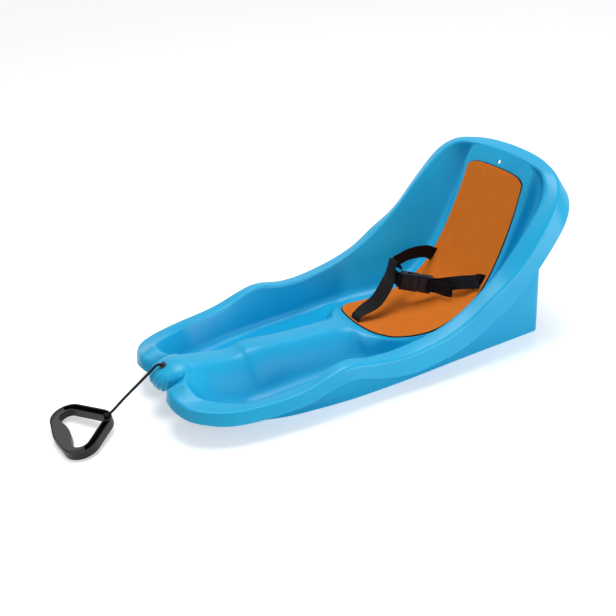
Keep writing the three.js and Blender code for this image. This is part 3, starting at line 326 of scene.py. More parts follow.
def close_ends(piece, merge=0):
    """Fills the open ends, after points nearer than a distance are merged, and turns the faces outwards."""
    bm = bmesh.new()
    bm.from_mesh(piece.data)
    if merge:
        bmesh.ops.remove_doubles(bm, verts=bm.verts, dist=merge)
    bmesh.ops.holes_fill(bm, edges=[e for e in bm.edges if e.is_boundary], sides=0)
    bmesh.ops.recalc_face_normals(bm, faces=bm.faces)
    bm.to_mesh(piece.data)
    bm.free()


def lift(sheet, way):
    """Moves a sheet along its normals."""
    bm = bmesh.new()
    bm.from_mesh(sheet.data)
    bm.normal_update()
    shift = {v.index: v.normal * way for v in bm.verts}
    for vert in bm.verts:
        vert.co += shift[vert.index]
    bm.to_mesh(sheet.data)
    bm.free()


def draped_grid(name, rows, finish, closed=False):
    """A grid whose crossings lie on the given rows of points, with a UV map in millimetres."""
    high, wide = len(rows), len(rows[0])
    bm = bmesh.new()
    bmesh.ops.create_grid(bm, x_segments=wide - 1, y_segments=high - 1, size=0.5)
    along = [0.0]
    middle = wide // 2
    for i in range(1, high):
        along.append(along[-1] + (rows[i][middle] - rows[i - 1][middle]).length)
    across = []
    for row in rows:
        reach = [0.0]
        for j in range(1, wide):
            reach.append(reach[-1] + (row[j] - row[j - 1]).length)
        across.append(reach)
    uv = bm.loops.layers.uv.new("UVMap")
    place = {}
    for vert in bm.verts:
        j = round((vert.co.x + 0.5) * (wide - 1))
        i = round((vert.co.y + 0.5) * (high - 1))
        place[vert.index] = (i, j)
        vert.co = rows[i][j]
    for face in bm.faces:
        for loop in face.loops:
            i, j = place[loop.vert.index]
            loop[uv].uv = (across[i][j] / MM, along[i] / MM)
    if closed:
        bmesh.ops.remove_doubles(bm, verts=bm.verts, dist=1e-5)
    return keep(name, bm, finish)


def catmull(values, u):
    """A smooth curve through evenly spaced values."""
    span = u * (len(values) - 1)
    i = min(int(span), len(values) - 2)
    t = span - i
    a, b, c, d = (values[min(max(k, 0), len(values) - 1)] for k in (i - 1, i, i + 1, i + 2))
    return 0.5 * (2 * b + (c - a) * t + (2 * a - 5 * b + 4 * c - d) * t * t + (3 * b - a - 3 * c + d) * t**3)


def smoothstep(x, low, high):
    """0 below one value, 1 above another, and a smooth rise between them."""
    t = min(max((x - low) / (high - low), 0), 1)
    return t * t * (3 - 2 * t)


def smooth_route(points, per_span):
    """Points along a centripetal curve through the given ones."""
    ends = [points[0] * 2 - points[1], *points, points[-1] * 2 - points[-2]]
    route = []
    for i in range(1, len(ends) - 2):
        p = ends[i - 1 : i + 3]
        k = [0.0]
        for a, b in zip(p, p[1:]):
            k.append(k[-1] + max((b - a).length, 1e-6) ** 0.5)
        last = i == len(ends) - 3
        for step in range(per_span + (1 if last else 0)):
            t = k[1] + (k[2] - k[1]) * step / per_span
            a1 = p[0] * ((k[1] - t) / (k[1] - k[0])) + p[1] * ((t - k[0]) / (k[1] - k[0]))
            a2 = p[1] * ((k[2] - t) / (k[2] - k[1])) + p[2] * ((t - k[1]) / (k[2] - k[1]))
            a3 = p[2] * ((k[3] - t) / (k[3] - k[2])) + p[3] * ((t - k[2]) / (k[3] - k[2]))
            b1 = a1 * ((k[2] - t) / (k[2] - k[0])) + a2 * ((t - k[0]) / (k[2] - k[0]))
            b2 = a2 * ((k[3] - t) / (k[3] - k[1])) + a3 * ((t - k[1]) / (k[3] - k[1]))
            route.append(b1 * ((k[2] - t) / (k[2] - k[1])) + b2 * ((t - k[1]) / (k[2] - k[1])))
    return route


# ---------------------------------------------------------------- the sled's own measures, as in the solid model
LENGTH, WIDTH, HEIGHT = 0.753, 0.392, 0.297
HALF = WIDTH / 2
HULL_WALL = 3 * MM
SEAM_GAP = 0.3 * MM
RIM_RADIUS = 6 * MM
CREASE_RADIUS = 6 * MM
PANEL_RADIUS = 6 * MM
FOOT_RADIUS = 16 * MM
SKIRT_HEIGHT = 34 * MM
SKIRT_FLARE = 5 * MM
BACK_LEAN = math.radians(64.5)
# spans between the stations of the next two tables, from the front over the seat to the top of the back
SPANS = 18
TUNNEL_STATION, SEAT_STATION = 8 / SPANS, 9 / SPANS
# the rim's crest and its outer crease at each station: across in half widths, along in lengths, up in heights
RIM = [
    (0.166, -0.440, 0.235, 0.205, -0.475, 0.203),
    (0.372, -0.454, 0.269, 0.306, -0.493, 0.242),
    (0.541, -0.436, 0.222, 0.490, -0.488, 0.226),
    (0.714, -0.361, 0.185, 0.663, -0.461, 0.212),
    (0.760, -0.294, 0.195, 0.816, -0.390, 0.195),
    (0.786, -0.229, 0.215, 0.898, -0.260, 0.209),
    (0.801, -0.148, 0.283, 0.918, -0.147, 0.273),
    (0.796, -0.079, 0.246, 0.929, -0.063, 0.236),
    (0.806, -0.007, 0.239, 0.954, 0.003, 0.229),
    (0.827, 0.088, 0.276, 0.969, 0.088, 0.259),
    (0.837, 0.149, 0.330, 0.969, 0.159, 0.316),
    (0.832, 0.205, 0.407, 0.969, 0.218, 0.404),
    (0.827, 0.272, 0.532, 0.959, 0.292, 0.515),
    (0.811, 0.346, 0.717, 0.939, 0.367, 0.710),
    (0.745, 0.406, 0.869, 0.867, 0.418, 0.865),
    (0.602, 0.432, 0.946, 0.714, 0.450, 0.949),
    (0.408, 0.444, 0.966, 0.459, 0.473, 0.983),
    (0.204, 0.450, 0.976, 0.230, 0.481, 0.997),
    (0.000, 0.451, 0.980, 0.000, 0.484, 1.000),
]
# at each station: the ridge along and up, the half width of its top, the spread and drop to its foot, the place
# of the wall's foot between there and below the rim, the lean as a share of the back's, the factors of the
# skirt's flare and height, and the spans by which the shoulder is ahead of the ridge
FORM = [
    (-0.432, 0.285, 0.05, 0.06, 0.010, 0.50, 0.00, 0.8, 0.55, 0.35),
    (-0.408, 0.269, 0.10, 0.12, 0.080, 0.60, 0.00, 0.8, 0.55, 0.35),
    (-0.379, 0.252, 0.12, 0.19, 0.170, 0.62, 0.00, 0.8, 0.58, 0.35),
    (-0.329, 0.225, 0.12, 0.21, 0.200, 0.74, 0.00, 0.8, 0.62, 0.35),
    (-0.299, 0.220, 0.12, 0.21, 0.205, 0.80, 0.00, 0.8, 0.64, 0.35),
    (-0.268, 0.236, 0.13, 0.20, 0.220, 0.86, 0.00, 0.8, 0.66, 0.35),
    (-0.167, 0.208, 0.12, 0.20, 0.195, 0.92, 0.00, 0.8, 0.68, 0.35),
    (-0.087, 0.195, 0.12, 0.20, 0.182, 0.95, 0.00, 0.8, 0.85, 0.35),
    (-0.031, 0.178, 0.17, 0.17, 0.162, 0.93, 0.00, 0.8, 1.00, 0.35),
    (-0.003, 0.162, 0.39, 0.08, 0.120, 0.80, 0.00, 1.0, 1.05, 0.35),
    (0.072, 0.108, 0.44, 0.06, 0.050, 0.50, 0.00, 1.0, 1.15, 0.35),
    (0.159, 0.086, 0.44, 0.05, 0.020, 0.30, 0.05, 1.0, 1.25, 0.35),
    (0.232, 0.128, 0.44, 0.05, 0.020, 0.25, 0.35, 1.2, 1.30, 0.35),
    (0.293, 0.222, 0.44, 0.05, 0.035, 0.25, 0.80, 1.8, 1.30, 0.35),
    (0.335, 0.350, 0.45, 0.05, 0.050, 0.30, 0.97, 3.4, 1.20, 0.60),
    (0.374, 0.525, 0.46, 0.05, 0.055, 0.35, 1.00, 4.2, 1.05, 1.70),
    (0.406, 0.707, 0.375, 0.03, 0.000, 0.40, 1.00, 3.4, 0.95, 1.55),
    (0.431, 0.882, 0.17, 0.03, 0.000, 0.40, 1.00, 2.6, 0.95, 0.75),
    (0.451, 0.980, 0.00, 0.00, 0.000, 0.00, 1.00, 2.4, 0.95, 0.00),
]


def column(table, k):
    return [row[k] for row in table]


def rim_point(first, u):
    x, y, z = (catmull(column(RIM, first + k), u) for k in range(3))
    return Vector((x * HALF, y * LENGTH, z * HEIGHT))


def ridge(u):
    return Vector((0, catmull(column(FORM, 0), u) * LENGTH, catmull(column(FORM, 1), u) * HEIGHT))


def rim_outward(u):
    along = rim_point(3, min(u + 0.004, 1)) - rim_point(3, max(u - 0.004, 0))
    along = Vector((along.x, along.y, 0)).normalized()
    return Vector((along.y, -along.x, 0))


def round_corner(before, corner, after, radius, steps):
    back, on = before - corner, after - corner
    start = corner + back.normalized() * min(radius, back.length / 2)
    end = corner + on.normalized() * min(radius, on.length / 2)
    ts = [k / steps for k in range(steps + 1)]
    return [start * (1 - t) ** 2 + corner * (2 * t * (1 - t)) + end * t**2 for t in ts]


def half_section(u):
    """Half a cross section of the skin, from the centre line over rim and crease to the foot of the skirt."""
    form = [catmull(column(FORM, k), u) for k in range(10)]
    seat = smoothstep(u, TUNNEL_STATION, SEAT_STATION)
    shoulder = ridge(min(u + form[9] / SPANS * seat, 1))
    shoulder.x = max(form[2], 0) * HALF
    lean = BACK_LEAN * form[6]
    down = Vector((0, math.sin(lean), -math.cos(lean)))
    foot = shoulder + down * max(form[4], 0) * HEIGHT
    foot.x += max(form[3], 0) * HALF
    rim = rim_point(0, u)
    below_rim = rim + down * (foot - rim).dot(down)
    wall_foot = foot.lerp(below_rim, form[5])
    edge = rim_point(3, u)
    hem = edge + rim_outward(u) * SKIRT_FLARE * form[7]
    hem.z -= SKIRT_HEIGHT * form[8]
    ridge_radius = HALF + (PANEL_RADIUS - HALF) * seat
    points = [ridge(u)]
    points += round_corner(points[0], shoulder, foot, ridge_radius, 8)
    points += round_corner(shoulder, foot, wall_foot, FOOT_RADIUS, 6)
    points += round_corner(foot, wall_foot, rim, FOOT_RADIUS, 6)
    points += round_corner(wall_foot, rim, edge, RIM_RADIUS, 5)
    points += round_corner(rim, edge, hem, CREASE_RADIUS, 5)
    points.append(hem)
    return points


def profile_frame(u, x):
    """A frame on the seat's profile: X across, Y up the profile, Z out of it."""
    along = (ridge(u + 0.002) - ridge(u - 0.002)).normalized()
    across = Vector((1, 0, 0))
    centre = ridge(u)
    centre.x = x
    return framed(across, along, across.cross(along), centre)


def framed(x_axis, y_axis, z_axis, origin):
    return Matrix.Translation(origin) @ Matrix((x_axis, y_axis, z_axis)).transposed().to_4x4()


EYELET_LEAN, EYELET_CENTRE = math.radians(42), Vector((0, -0.35316, 0.08074))
EYELET_LENGTH, EYELET_SINK, EYELET_FLANGE = 8 * MM, 1.2 * MM, 1.6 * MM
# radii of the sleeve's hole and the flange's seat, each with a gap
EYELET_HOLE, EYELET_SEAT = 5.1 * MM, 7.3 * MM
BUCKLE_START, BUCKLE_END = Vector((-29, 126, 80)) * MM, Vector((12, 182, 67)) * MM
HANDLE_BASE, HANDLE_TILT = Vector((-6, -540.4, 2.2)) * MM, (8, 1.5, -0.4)
HANDLE_WIDTH, HANDLE_HEIGHT, HANDLE_THICKNESS = 136 * MM, 91 * MM, 13 * MM
HANDLE_CORNER, HANDLE_WALL, HANDLE_EDGE = 29.5 * MM, 2.5 * MM, 0.8 * MM
APEX_SHIFT, GRIP_BULGE, GRIP_BORDER = 6.5 * MM, 5 * MM, 3 * MM
KNOT_RADIUS, KNOT_SINK = 4.4 * MM, 2 * MM


def eyelet_frame():
    """The cord's eyelet: Z along its axis, out of the nose."""
    out = Vector((0, -math.cos(EYELET_LEAN), math.sin(EYELET_LEAN)))
    across = Vector((1, 0, 0))
    return framed(across, out.cross(across), out, EYELET_CENTRE)


def buckle_frame():
    """The closed buckle: X along it from the socket to the plug, Y out of its face."""
    along = (BUCKLE_END - BUCKLE_START).normalized()
    face = -Vector((0, 0, 1)).cross(along).normalized()
    return framed(along, face, along.cross(face), BUCKLE_START)


def handle_frame():
    """The handle on the floor: X along the grip, Y to the cord's corner, Z up."""
    turn = Euler([math.radians(a) for a in HANDLE_TILT], "XYZ").to_matrix().to_4x4()
    return Matrix.Translation(HANDLE_BASE) @ turn


EYELET, BUCKLE, HANDLE = eyelet_frame(), buckle_frame(), handle_frame()
handle_plastic = handle_polypropylene()
BELT_SLOT_X, HANG_HOLE_RADIUS = 0.0740096, 4 * MM
BELT_SLOT_SHARE, CROTCH_SLOT_SHARE, HANG_HOLE_SHARE = 13.49 / SPANS, 9.26 / SPANS, 17.25 / SPANS
WEBBING, STRAP_THICKNESS, SLOT_GAP = 25 * MM, 1.6 * MM, 1.5 * MM
SLOTS = [profile_frame(BELT_SLOT_SHARE, side * BELT_SLOT_X) for side in (-1, 1)]
CROTCH_SLOT = profile_frame(CROTCH_SLOT_SHARE, 0)


# ---------------------------------------------------------------- cord and its handle, first of all
def tube(name, route, radius, finish, around=16):
    """A tube of even thickness along a route, with a UV map in millimetres round and along it."""
    rows = []
    turn = route[1] - route[0]
    side = turn.orthogonal().normalized()
    for i, point in enumerate(route):
        along = (route[min(i + 1, len(route) - 1)] - route[max(i - 1, 0)]).normalized()
        side = (side - along * side.dot(along)).normalized()
        other = along.cross(side)
        angles = [2 * math.pi * k / around for k in range(around + 1)]
        rows.append([point + side * (radius * math.cos(a)) + other * (radius * math.sin(a)) for a in angles])
    made = draped_grid(name, rows, finish, closed=True)
    close_ends(made)
    for face in made.data.polygons:
        face.use_smooth = len(face.vertices) < 5
    return made


CORD_RADIUS = 2.25 * MM
KNOT_Y = HANDLE_HEIGHT - HANDLE_WALL - KNOT_RADIUS - SEAM_GAP
KNOT = Vector((APEX_SHIFT, KNOT_Y, HANDLE_THICKNESS - KNOT_SINK))
CORD_ENTRY = math.radians(24)
# on the cord's way into the handle, in millimetres from the middle of the knot
KNOT_PLACES = (12, 4.7)


def cord_route():
    """The middle of the cord from inside the eyelet, over its sag, to the knot."""
    inside = [EYELET @ Vector((0, 0, z)) for z in (-EYELET_LENGTH, 0, EYELET_SINK + EYELET_FLANGE)]
    free = [
        Vector(p) * MM
        for p in (
            (0, -361.5, 86),
            (0, -367, 84.2),
            (0, -375, 78.6),
            (0, -397, 64.2),
            (0.2, -424, 47),
        )
    ]
    entry = Vector((0, math.cos(CORD_ENTRY), math.sin(CORD_ENTRY)))
    ends = [HANDLE @ (KNOT + entry * (reach * MM)) for reach in KNOT_PLACES]
    return smooth_route([*inside, *free, *ends], 6)


def pull_cord():
    route = cord_route()
    cord = tube("cord", route, CORD_RADIUS, cord_braid)
    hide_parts("pull_cord")
    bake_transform(cord)
    length = sum((b - a).length for a, b in zip(route, route[1:]))
    return cord, route, length


def trefoil(name, centre, size, radius, finish):
    """A tight overhand knot in the cord, drawn as a trefoil."""
    route = []
    for k in range(73):
        a = 2 * math.pi * k / 72
        ring = Vector((math.sin(a) + 2 * math.sin(2 * a), math.cos(a) - 2 * math.cos(2 * a), -1.6 * math.sin(3 * a)))
        route.append(centre + HANDLE.to_3x3() @ (ring * size))
    return tube(name, route, radius, finish, around=12)


cord, route_of_cord, cord_length = pull_cord()
# the knot's turns are drawn close together, so its strand is thinner than the free cord
TREFOIL_SIZE, TREFOIL_STRAND = 0.95 * MM, 1.35 * MM
knot = trefoil("stopper_knot", HANDLE @ KNOT, TREFOIL_SIZE, TREFOIL_STRAND, cord_braid)
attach(knot, "handle")
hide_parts("handle_knot")


# ---------------------------------------------------------------- hull
def cut(piece, cutter, operation="DIFFERENCE"):
    modifier(piece, "BOOLEAN", operation=operation, solver="EXACT", object=cutter)
    applied(piece)
    bpy.data.objects.remove(cutter)
    return piece


def block(name, low, high, place=None):
    bm = bmesh.new()
    bmesh.ops.create_cube(bm, size=1)
    middle = (Vector(low) + Vector(high)) / 2
    size = Vector(high) - Vector(low)
    bmesh.ops.scale(bm, vec=size, verts=bm.verts)
    bmesh.ops.translate(bm, vec=middle, verts=bm.verts)
    if place is not None:
        bm.transform(place)
    return keep(name, bm, hull_plastic)


def rod(name, radius, low, high, place, segments=40):
    """A cylinder along the Z axis of a frame."""
    bm = bmesh.new()
    bmesh.ops.create_cone(bm, cap_ends=True, segments=segments, radius1=radius, radius2=radius, depth=high - low)
    bmesh.ops.translate(bm, vec=(0, 0, (low + high) / 2), verts=bm.verts)
    bm.transform(place)
    return keep(name, bm, hull_plastic)


SKIN_STEPS = 7 * SPANS


def skin_rows(steps):
    """Cross sections of the whole skin, from the front to the top of the back."""
    rows = []
    for i in range(steps + 1):
        half = half_section(i / steps)
        other = [Vector((-p.x, p.y, p.z)) for p in reversed(half[1:])]
        rows.append(other + half)
    return rows


PAD_FRONT, PAD_TOP = 9.14 / SPANS, 17 / SPANS
# the pad's half widths from its front to its top, as shares of the sled's
PAD_WIDTHS = [0.355, 0.425, 0.430, 0.424, 0.415, 0.402, 0.386]
PAD_SIDE_GAP, PAD_THICKNESS = 1.3 * MM, 6 * MM
TRAY_DEPTH, TRAY_WALL, TRAY_SINK = 4 * MM, 3 * MM, 1 * MM


def pad_half_width(u):
    share = (u - PAD_FRONT) / (PAD_TOP - PAD_FRONT)
    return catmull(PAD_WIDTHS, min(max(share, 0), 1)) * HALF


def pad_rows(margin, high=72, wide=48):
    """Rows of points over the pad's outline on the profile of the seat, grown by a margin."""
    rows = []
    grown = margin / LENGTH
    for i in range(high + 1):
        row = []
        for k in range(wide + 1):
            q = math.sin((k / wide - 0.5) * math.pi)
            # both ends are bowed and have rounded corners, in spans
            corner = abs(q) ** 8
            front = PAD_FRONT - grown + (0.28 * q * q + 0.36 * corner) / SPANS
            top = PAD_TOP + grown - (0.1 * q * q + 0.2 * corner) / SPANS
            u = front + (top - front) * i / high
            point = ridge(u)
            point.x = q * (pad_half_width(u) + margin)
            row.append(point)
        rows.append(row)
    return rows


def plate(name, margin, above, below, finish):
    """A closed plate over the pad's outline, from one height over the seat's profile to a depth under it."""
    made = draped_grid(name, pad_rows(margin), finish)
    lift(made, above)
    modifier(made, "SOLIDIFY", thickness=above + below, offset=-1)
    return applied(made)


def slot_cutters():
    """Blocks that cut the slots of the three straps through the hull and the pad."""
    deep = 0.05
    across, along = (STRAP_THICKNESS + 2 * SLOT_GAP) / 2, (WEBBING + 2 * SLOT_GAP) / 2
    cutters = [block("slot", (-across, -along, -deep), (across, along, deep), place) for place in SLOTS]
    cutters.append(block("slot", (-along, -across, -deep), (along, across, deep), CROTCH_SLOT))
    return cutters


def hull():
    """The moulded skin with the pad's tray, the slots and the hole to hang it by; gives its untouched surface."""
    skin = draped_grid("hull", skin_rows(SKIN_STEPS), hull_plastic, closed=True)
    under = BVHTree.FromObject(skin, bpy.context.evaluated_depsgraph_get())
    modifier(skin, "SOLIDIFY", thickness=HULL_WALL, offset=-1)
    applied(skin)
    cut(skin, plate("tray", PAD_SIDE_GAP + TRAY_WALL, -TRAY_SINK, TRAY_DEPTH + TRAY_WALL, hull_plastic), "UNION")
    cut(skin, plate("recess", PAD_SIDE_GAP, 2 * TRAY_DEPTH, TRAY_DEPTH, hull_plastic))
    for cutter in slot_cutters():
        cut(skin, cutter)
    cut(skin, rod("hole", HANG_HOLE_RADIUS, -0.02, 0.02, profile_frame(HANG_HOLE_SHARE, 0)))
    sharpen(skin)
    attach(skin, "sled")
    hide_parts("sled_shell")
    return under


# the base wall in plan, from the nose back: across in half widths, along in lengths
BASE = [
    (0.560, -0.372),
    (0.622, -0.327),
    (0.704, -0.265),
    (0.750, -0.199),
    (0.786, -0.128),
    (0.801, -0.054),
    (0.806, 0.026),
    (0.801, 0.110),
    (0.796, 0.197),
    (0.796, 0.404),
]
BASE_CORNER = 14 * MM
SIDE_STEPS, CORNER_STEPS, BACK_STEPS, UPRIGHT_STEPS = 108, 8, 24, 12
TRAY_HALF_WIDTH = 86 * MM
# how far the wall's top goes into what is above it
TRAY_OVERLAP, SKIN_OVERLAP = 5.5 * MM, 1.5 * MM
# the wall's front end rises off the floor
LIFT_START, LIFT_RUN, LIFT_HEIGHT = -0.235, 0.090, 0.034


def base_outline():
    """The left half of the base wall in plan, from the nose end round the back corner to the centre line."""
    side = []
    for k in range(SIDE_STEPS + 1):
        x, y = (catmull(column(BASE, i), k / SIDE_STEPS) for i in (0, 1))
        side.append(Vector((x * HALF, y * LENGTH, 0)))
    corner = side[-1]
    centre = Vector((corner.x - BASE_CORNER, corner.y - BASE_CORNER, 0))
    outline = [p for p in side if p.y < centre.y - BASE_CORNER / 2]
    for k in range(CORNER_STEPS + 1):
        angle = math.pi / 2 * k / CORNER_STEPS
        outline.append(centre + Vector((math.cos(angle), math.sin(angle), 0)) * BASE_CORNER)
    for k in range(1, BACK_STEPS + 1):
        outline.append(Vector((centre.x * (1 - k / BACK_STEPS), corner.y, 0)))
    return outline


def wall_top(under, p):
    """The height at which the base wall ends inside the skin, or inside the tray's floor under the pad."""
    hit, normal, _, _ = under.ray_cast(Vector((p.x, p.y, -0.1)), Vector((0, 0, 1)))
    if hit is None:
        return 0.05
    in_tray = abs(p.x) < TRAY_HALF_WIDTH and 0 < p.y
    return hit.z - (TRAY_OVERLAP if in_tray else SKIN_OVERLAP) / max(abs(normal.z), 0.3)


def base_wall(under):
    """The wall that stands on the floor, up to the underside of the skin, with its front end raised."""
    half = base_outline()
    outer = half + [Vector((-p.x, p.y, 0)) for p in reversed(half[:-1])]
    last = len(outer) - 1
    inner = []
    for i, p in enumerate(outer):
        along = (outer[min(i + 1, last)] - outer[max(i - 1, 0)]).normalized()
        inner.append(p + Vector((-along.y, along.x, 0)) * HULL_WALL)
    sides = []
    for line in (outer, inner):
        side = []
        for p in line:
            foot = min(max((LIFT_START - p.y) / LIFT_RUN, 0), 1) * LIFT_HEIGHT
            side.append((p, foot, max(wall_top(under, p), foot + 1 * MM)))
        sides.append(side)
    rows = []
    for side, steps in zip(sides, (range(UPRIGHT_STEPS + 1), range(UPRIGHT_STEPS, -1, -1))):
        for i in steps:
            rows.append([Vector((p.x, p.y, foot + (top - foot) * i / UPRIGHT_STEPS)) for p, foot, top in side])
    rows.append([p.copy() for p in rows[0]])
    wall = draped_grid("base_wall", rows, hull_plastic, closed=True)
    close_ends(wall)
    modifier(wall, "BEVEL", width=0.8 * MM, segments=2, limit_method="ANGLE", angle_limit=math.radians(50))
    applied(wall)
    sharpen(wall)
    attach(wall, "sled")


# the nose from its tip back: along in lengths, its half width in half widths, its top and bottom in heights
NOSE = [
    (-0.500, 0.02, 0.206, 0.198),
    (-0.497, 0.08, 0.226, 0.176),
    (-0.489, 0.125, 0.250, 0.152),
    (-0.475, 0.162, 0.270, 0.138),
    (-0.453, 0.184, 0.287, 0.134),
    (-0.432, 0.186, 0.286, 0.134),
    (-0.421, 0.170, 0.277, 0.134),
]
# powers that set the rings closer towards the tip, and fill out their corners past an ellipse
RING_CROWDING, RING_FULLNESS = 1.3, 0.85


def nose_form(name, wall, sections=110, around=280):
    """The rounded nose, a stack of flattened rings from its tip back, shrunk by a wall."""
    rows = []
    for i in range(sections + 1):
        t = (i / sections) ** RING_CROWDING
        y = catmull(column(NOSE, 0), t) * LENGTH + (wall if i == 0 else 0)
        least = 0.5 * MM + wall * 0.2
        wide = max(catmull(column(NOSE, 1), t) * HALF - wall, least)
        top = catmull(column(NOSE, 2), t) * HEIGHT - wall
        bottom = catmull(column(NOSE, 3), t) * HEIGHT + wall
        deep = max((top - bottom) / 2, least)
        row = []
        for k in range(around + 1):
            c, s = math.cos(2 * math.pi * k / around), math.sin(2 * math.pi * k / around)
            x = wide * math.copysign(abs(c) ** RING_FULLNESS, c)
            z = deep * math.copysign(abs(s) ** RING_FULLNESS, s)
            row.append(Vector((x, y, (top + bottom) / 2 + z)))
        rows.append(row)
    made = draped_grid(name, rows, hull_plastic, closed=True)
    close_ends(made, 0.05 * MM)
    return made


# angles from rib to rib and over half of a rib, seen from above the point that they fan out from
RIB_SPACING, RIB_WIDTH = 0.2, 0.045
RIB_RISE = 1.5 * MM
# the ribs come up to their full rise between the two values of a pair: from the back, down from a level under the
# eyelet and up from the chin, in millimetres, and from the sides by the angle
FAN_BACK, FAN_TOP, FAN_CHIN, FAN_SIDE = (330, 338), (1, 6), (41, 47), (0.75, 0.95)
FAN_LEVEL = 80
# the angle by which a rib leans for each millimetre under a level
RIB_LEAN, RIB_LEVEL = 0.008, 74
CHIN_Y, CHIN_HEIGHT = -LENGTH / 2 + 30 * MM, 0.18 * HEIGHT
REEL_Y, REEL_Z = -0.403 * LENGTH, 0.1549 * HEIGHT
POST_X, POST_RADIUS, POST_FOOT, POST_TOP = 23 * MM, 4.2 * MM, 0.0573, 0.0700
POST_BORE, POST_BORE_END = 1.8 * MM, 0.0653


def nose():
    """The hollow nose with its ribs and the eyelet's seat, and the two posts that hold the reel."""
    body = nose_form("nose", 0)
    # the ribs fan down from under the eyelet and fade towards the back, the eyelet, the chin and the sides
    bm = bmesh.new()
    bm.from_mesh(body.data)
    bm.normal_update()
    for vert in bm.verts:
        x, y, z = vert.co / MM
        bearing = abs(math.atan2(x, -y - FAN_BACK[0]))
        front = smoothstep(-y, *FAN_BACK) * smoothstep(FAN_LEVEL - z, *FAN_TOP) * smoothstep(z, *FAN_CHIN)
        front *= 1 - smoothstep(bearing, *FAN_SIDE)
        along = (bearing + RIB_LEAN * (RIB_LEVEL - z)) % RIB_SPACING - RIB_SPACING / 2
        vert.co += vert.normal * (RIB_RISE * front * math.exp(-((along / RIB_WIDTH) ** 2)))
    bm.to_mesh(body.data)
    bm.free()
    cut(body, block("opening", (-HALF, CHIN_Y, -0.1), (HALF, 0, CHIN_HEIGHT)))
    cut(body, nose_form("hollow", HULL_WALL, 22, 48))
    cut(body, rod("bore", EYELET_HOLE, -0.1, 0.1, EYELET))
    cut(body, rod("seat", EYELET_SEAT, EYELET_SINK, 0.03, EYELET))
    sharpen(body)
    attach(body, "sled")
    for side in (-1, 1):
        place = Matrix.Translation((side * POST_X, REEL_Y, 0))
        post = rod(f"reel_post_{'right' if side < 0 else 'left'}", POST_RADIUS, POST_FOOT, POST_TOP, place, 24)
        cut(post, rod("hole", POST_BORE, 0.05, POST_BORE_END, place, 16))
        sharpen(post)
        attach(post, "sled")


underside = hull()
base_wall(underside)
nose()


# ---------------------------------------------------------------- seat pad
def seat_pad():
    """A foam panel in the tray: orange face, and a near-black cut edge and back that are partly dark foam, partly
    painted shade of the gap round the pad.
    """
    pad = draped_grid("foam_pad", pad_rows(0, 110, 64), pad_foam)
    # the second material, for the cut edge and back, is near-black: partly dark foam, partly painted shade of the gap
    # round the pad
    pad.data.materials.append(pad_edge_and_gap_shade)
    lift(pad, PAD_THICKNESS - TRAY_DEPTH)
    # the back stays half a millimetre off the tray
    foam = PAD_THICKNESS - 0.5 * MM
    modifier(pad, "SOLIDIFY", thickness=foam, offset=-1, material_offset=1, material_offset_rim=1)
    applied(pad)
    for cutter in slot_cutters():
        cutter.data.materials.clear()
        cut(pad, cutter)
    modifier(pad, "BEVEL", width=0.9 * MM, segments=3, limit_method="ANGLE", angle_limit=math.radians(50), material=1)
    applied(pad)
    sharpen(pad, 40)
    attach(pad, "sled")
    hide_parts("seat_pad")


seat_pad()


# ---------------------------------------------------------------- harness
# woven 0.1 mm thinner than the solid model's webbing, with rounded edges
WOVEN_THICKNESS, WOVEN_EDGE = 1.5 * MM, 0.5 * MM


def strap(name, points, start_across, end_across, turn_end=0.5, back_start=1):
    """A flat strap of webbing along a smooth route, whose width turns from one direction to another and back."""
    route = smooth_route(points, 12)
    last = len(route) - 1
    rows = []
    for i, point in enumerate(route):
        along = (route[min(i + 1, last)] - route[max(i - 1, 0)]).normalized()
        turned = smoothstep(i / last, turn_end * 0.6, turn_end)
        turned *= 1 - smoothstep(i / last, back_start, back_start + turn_end / 2)
        across = start_across.lerp(end_across, turned)
        side = (across - along * across.dot(along)).normalized() * (WEBBING / 2)
        rows.append([point + side * (j / 5 - 1) for j in range(11)])
    made = draped_grid(name, rows, webbing)
    modifier(made, "SOLIDIFY", thickness=WOVEN_THICKNESS, offset=0)
    modifier(made, "BEVEL", width=WOVEN_EDGE, segments=2, limit_method="ANGLE", angle_limit=math.radians(60))
    applied(made)
    sharpen(made, 60)
    return made


# millimetres behind the seat: the tray's depth and wall, the stopper with a gap on each side, and the strap's hem
STRAP_TAIL = 4 + 3 + 3 + 2 * 0.4 + 4
# millimetres from the middle of a buckle's bar: half of the bar, the webbing and a gap
WRAP = 5 / 2 + 1.6 + 0.4
# millimetres along the closed buckle
SOCKET_BAR, PLUG_START, PLUG_LENGTH, PLUG_BAR = 2.6, 36.3, 24, 4


def shared(points):
    """Points given in shares of the sled's half width, length and height."""
    return [Vector((x * HALF, y * LENGTH, z * HEIGHT)) for x, y, z in points]


def at_buckle(points):
    return [BUCKLE @ Vector((x * MM, y * MM, 0)) for x, y in points]


def through_slot(place):
    return [place @ Vector((0, 0, z * MM)) for z in (-STRAP_TAIL, -4, 8)]


ALONG_SLOT = [place.to_3x3().col[1].copy() for place in SLOTS]
ACROSS_BUCKLE = -BUCKLE.to_3x3().col[2]


def right_belt():
    loop = shared(
        [
            (-0.364, 0.288, 0.325),
            (-0.347, 0.262, 0.345),
            (-0.327, 0.225, 0.357),
            (-0.315, 0.196, 0.348),
            (-0.312, 0.178, 0.334),
            (-0.288, 0.166, 0.316),
            (-0.225, 0.1615, 0.292),
            (-0.175, 0.167, 0.272),
        ]
    )
    eye = SOCKET_BAR / 2
    end = at_buckle(
        [
            (-WRAP * 0.6, -WRAP),
            (eye, -WRAP),
            (SOCKET_BAR + WRAP * 0.85, 0),
            (eye, WRAP),
            (-WRAP, WRAP),
        ]
    )
    belt = strap("right_webbing", [*through_slot(SLOTS[0]), *loop, *end], ALONG_SLOT[0], ACROSS_BUCKLE)
    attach(belt, "sled")
    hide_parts("right_belt")


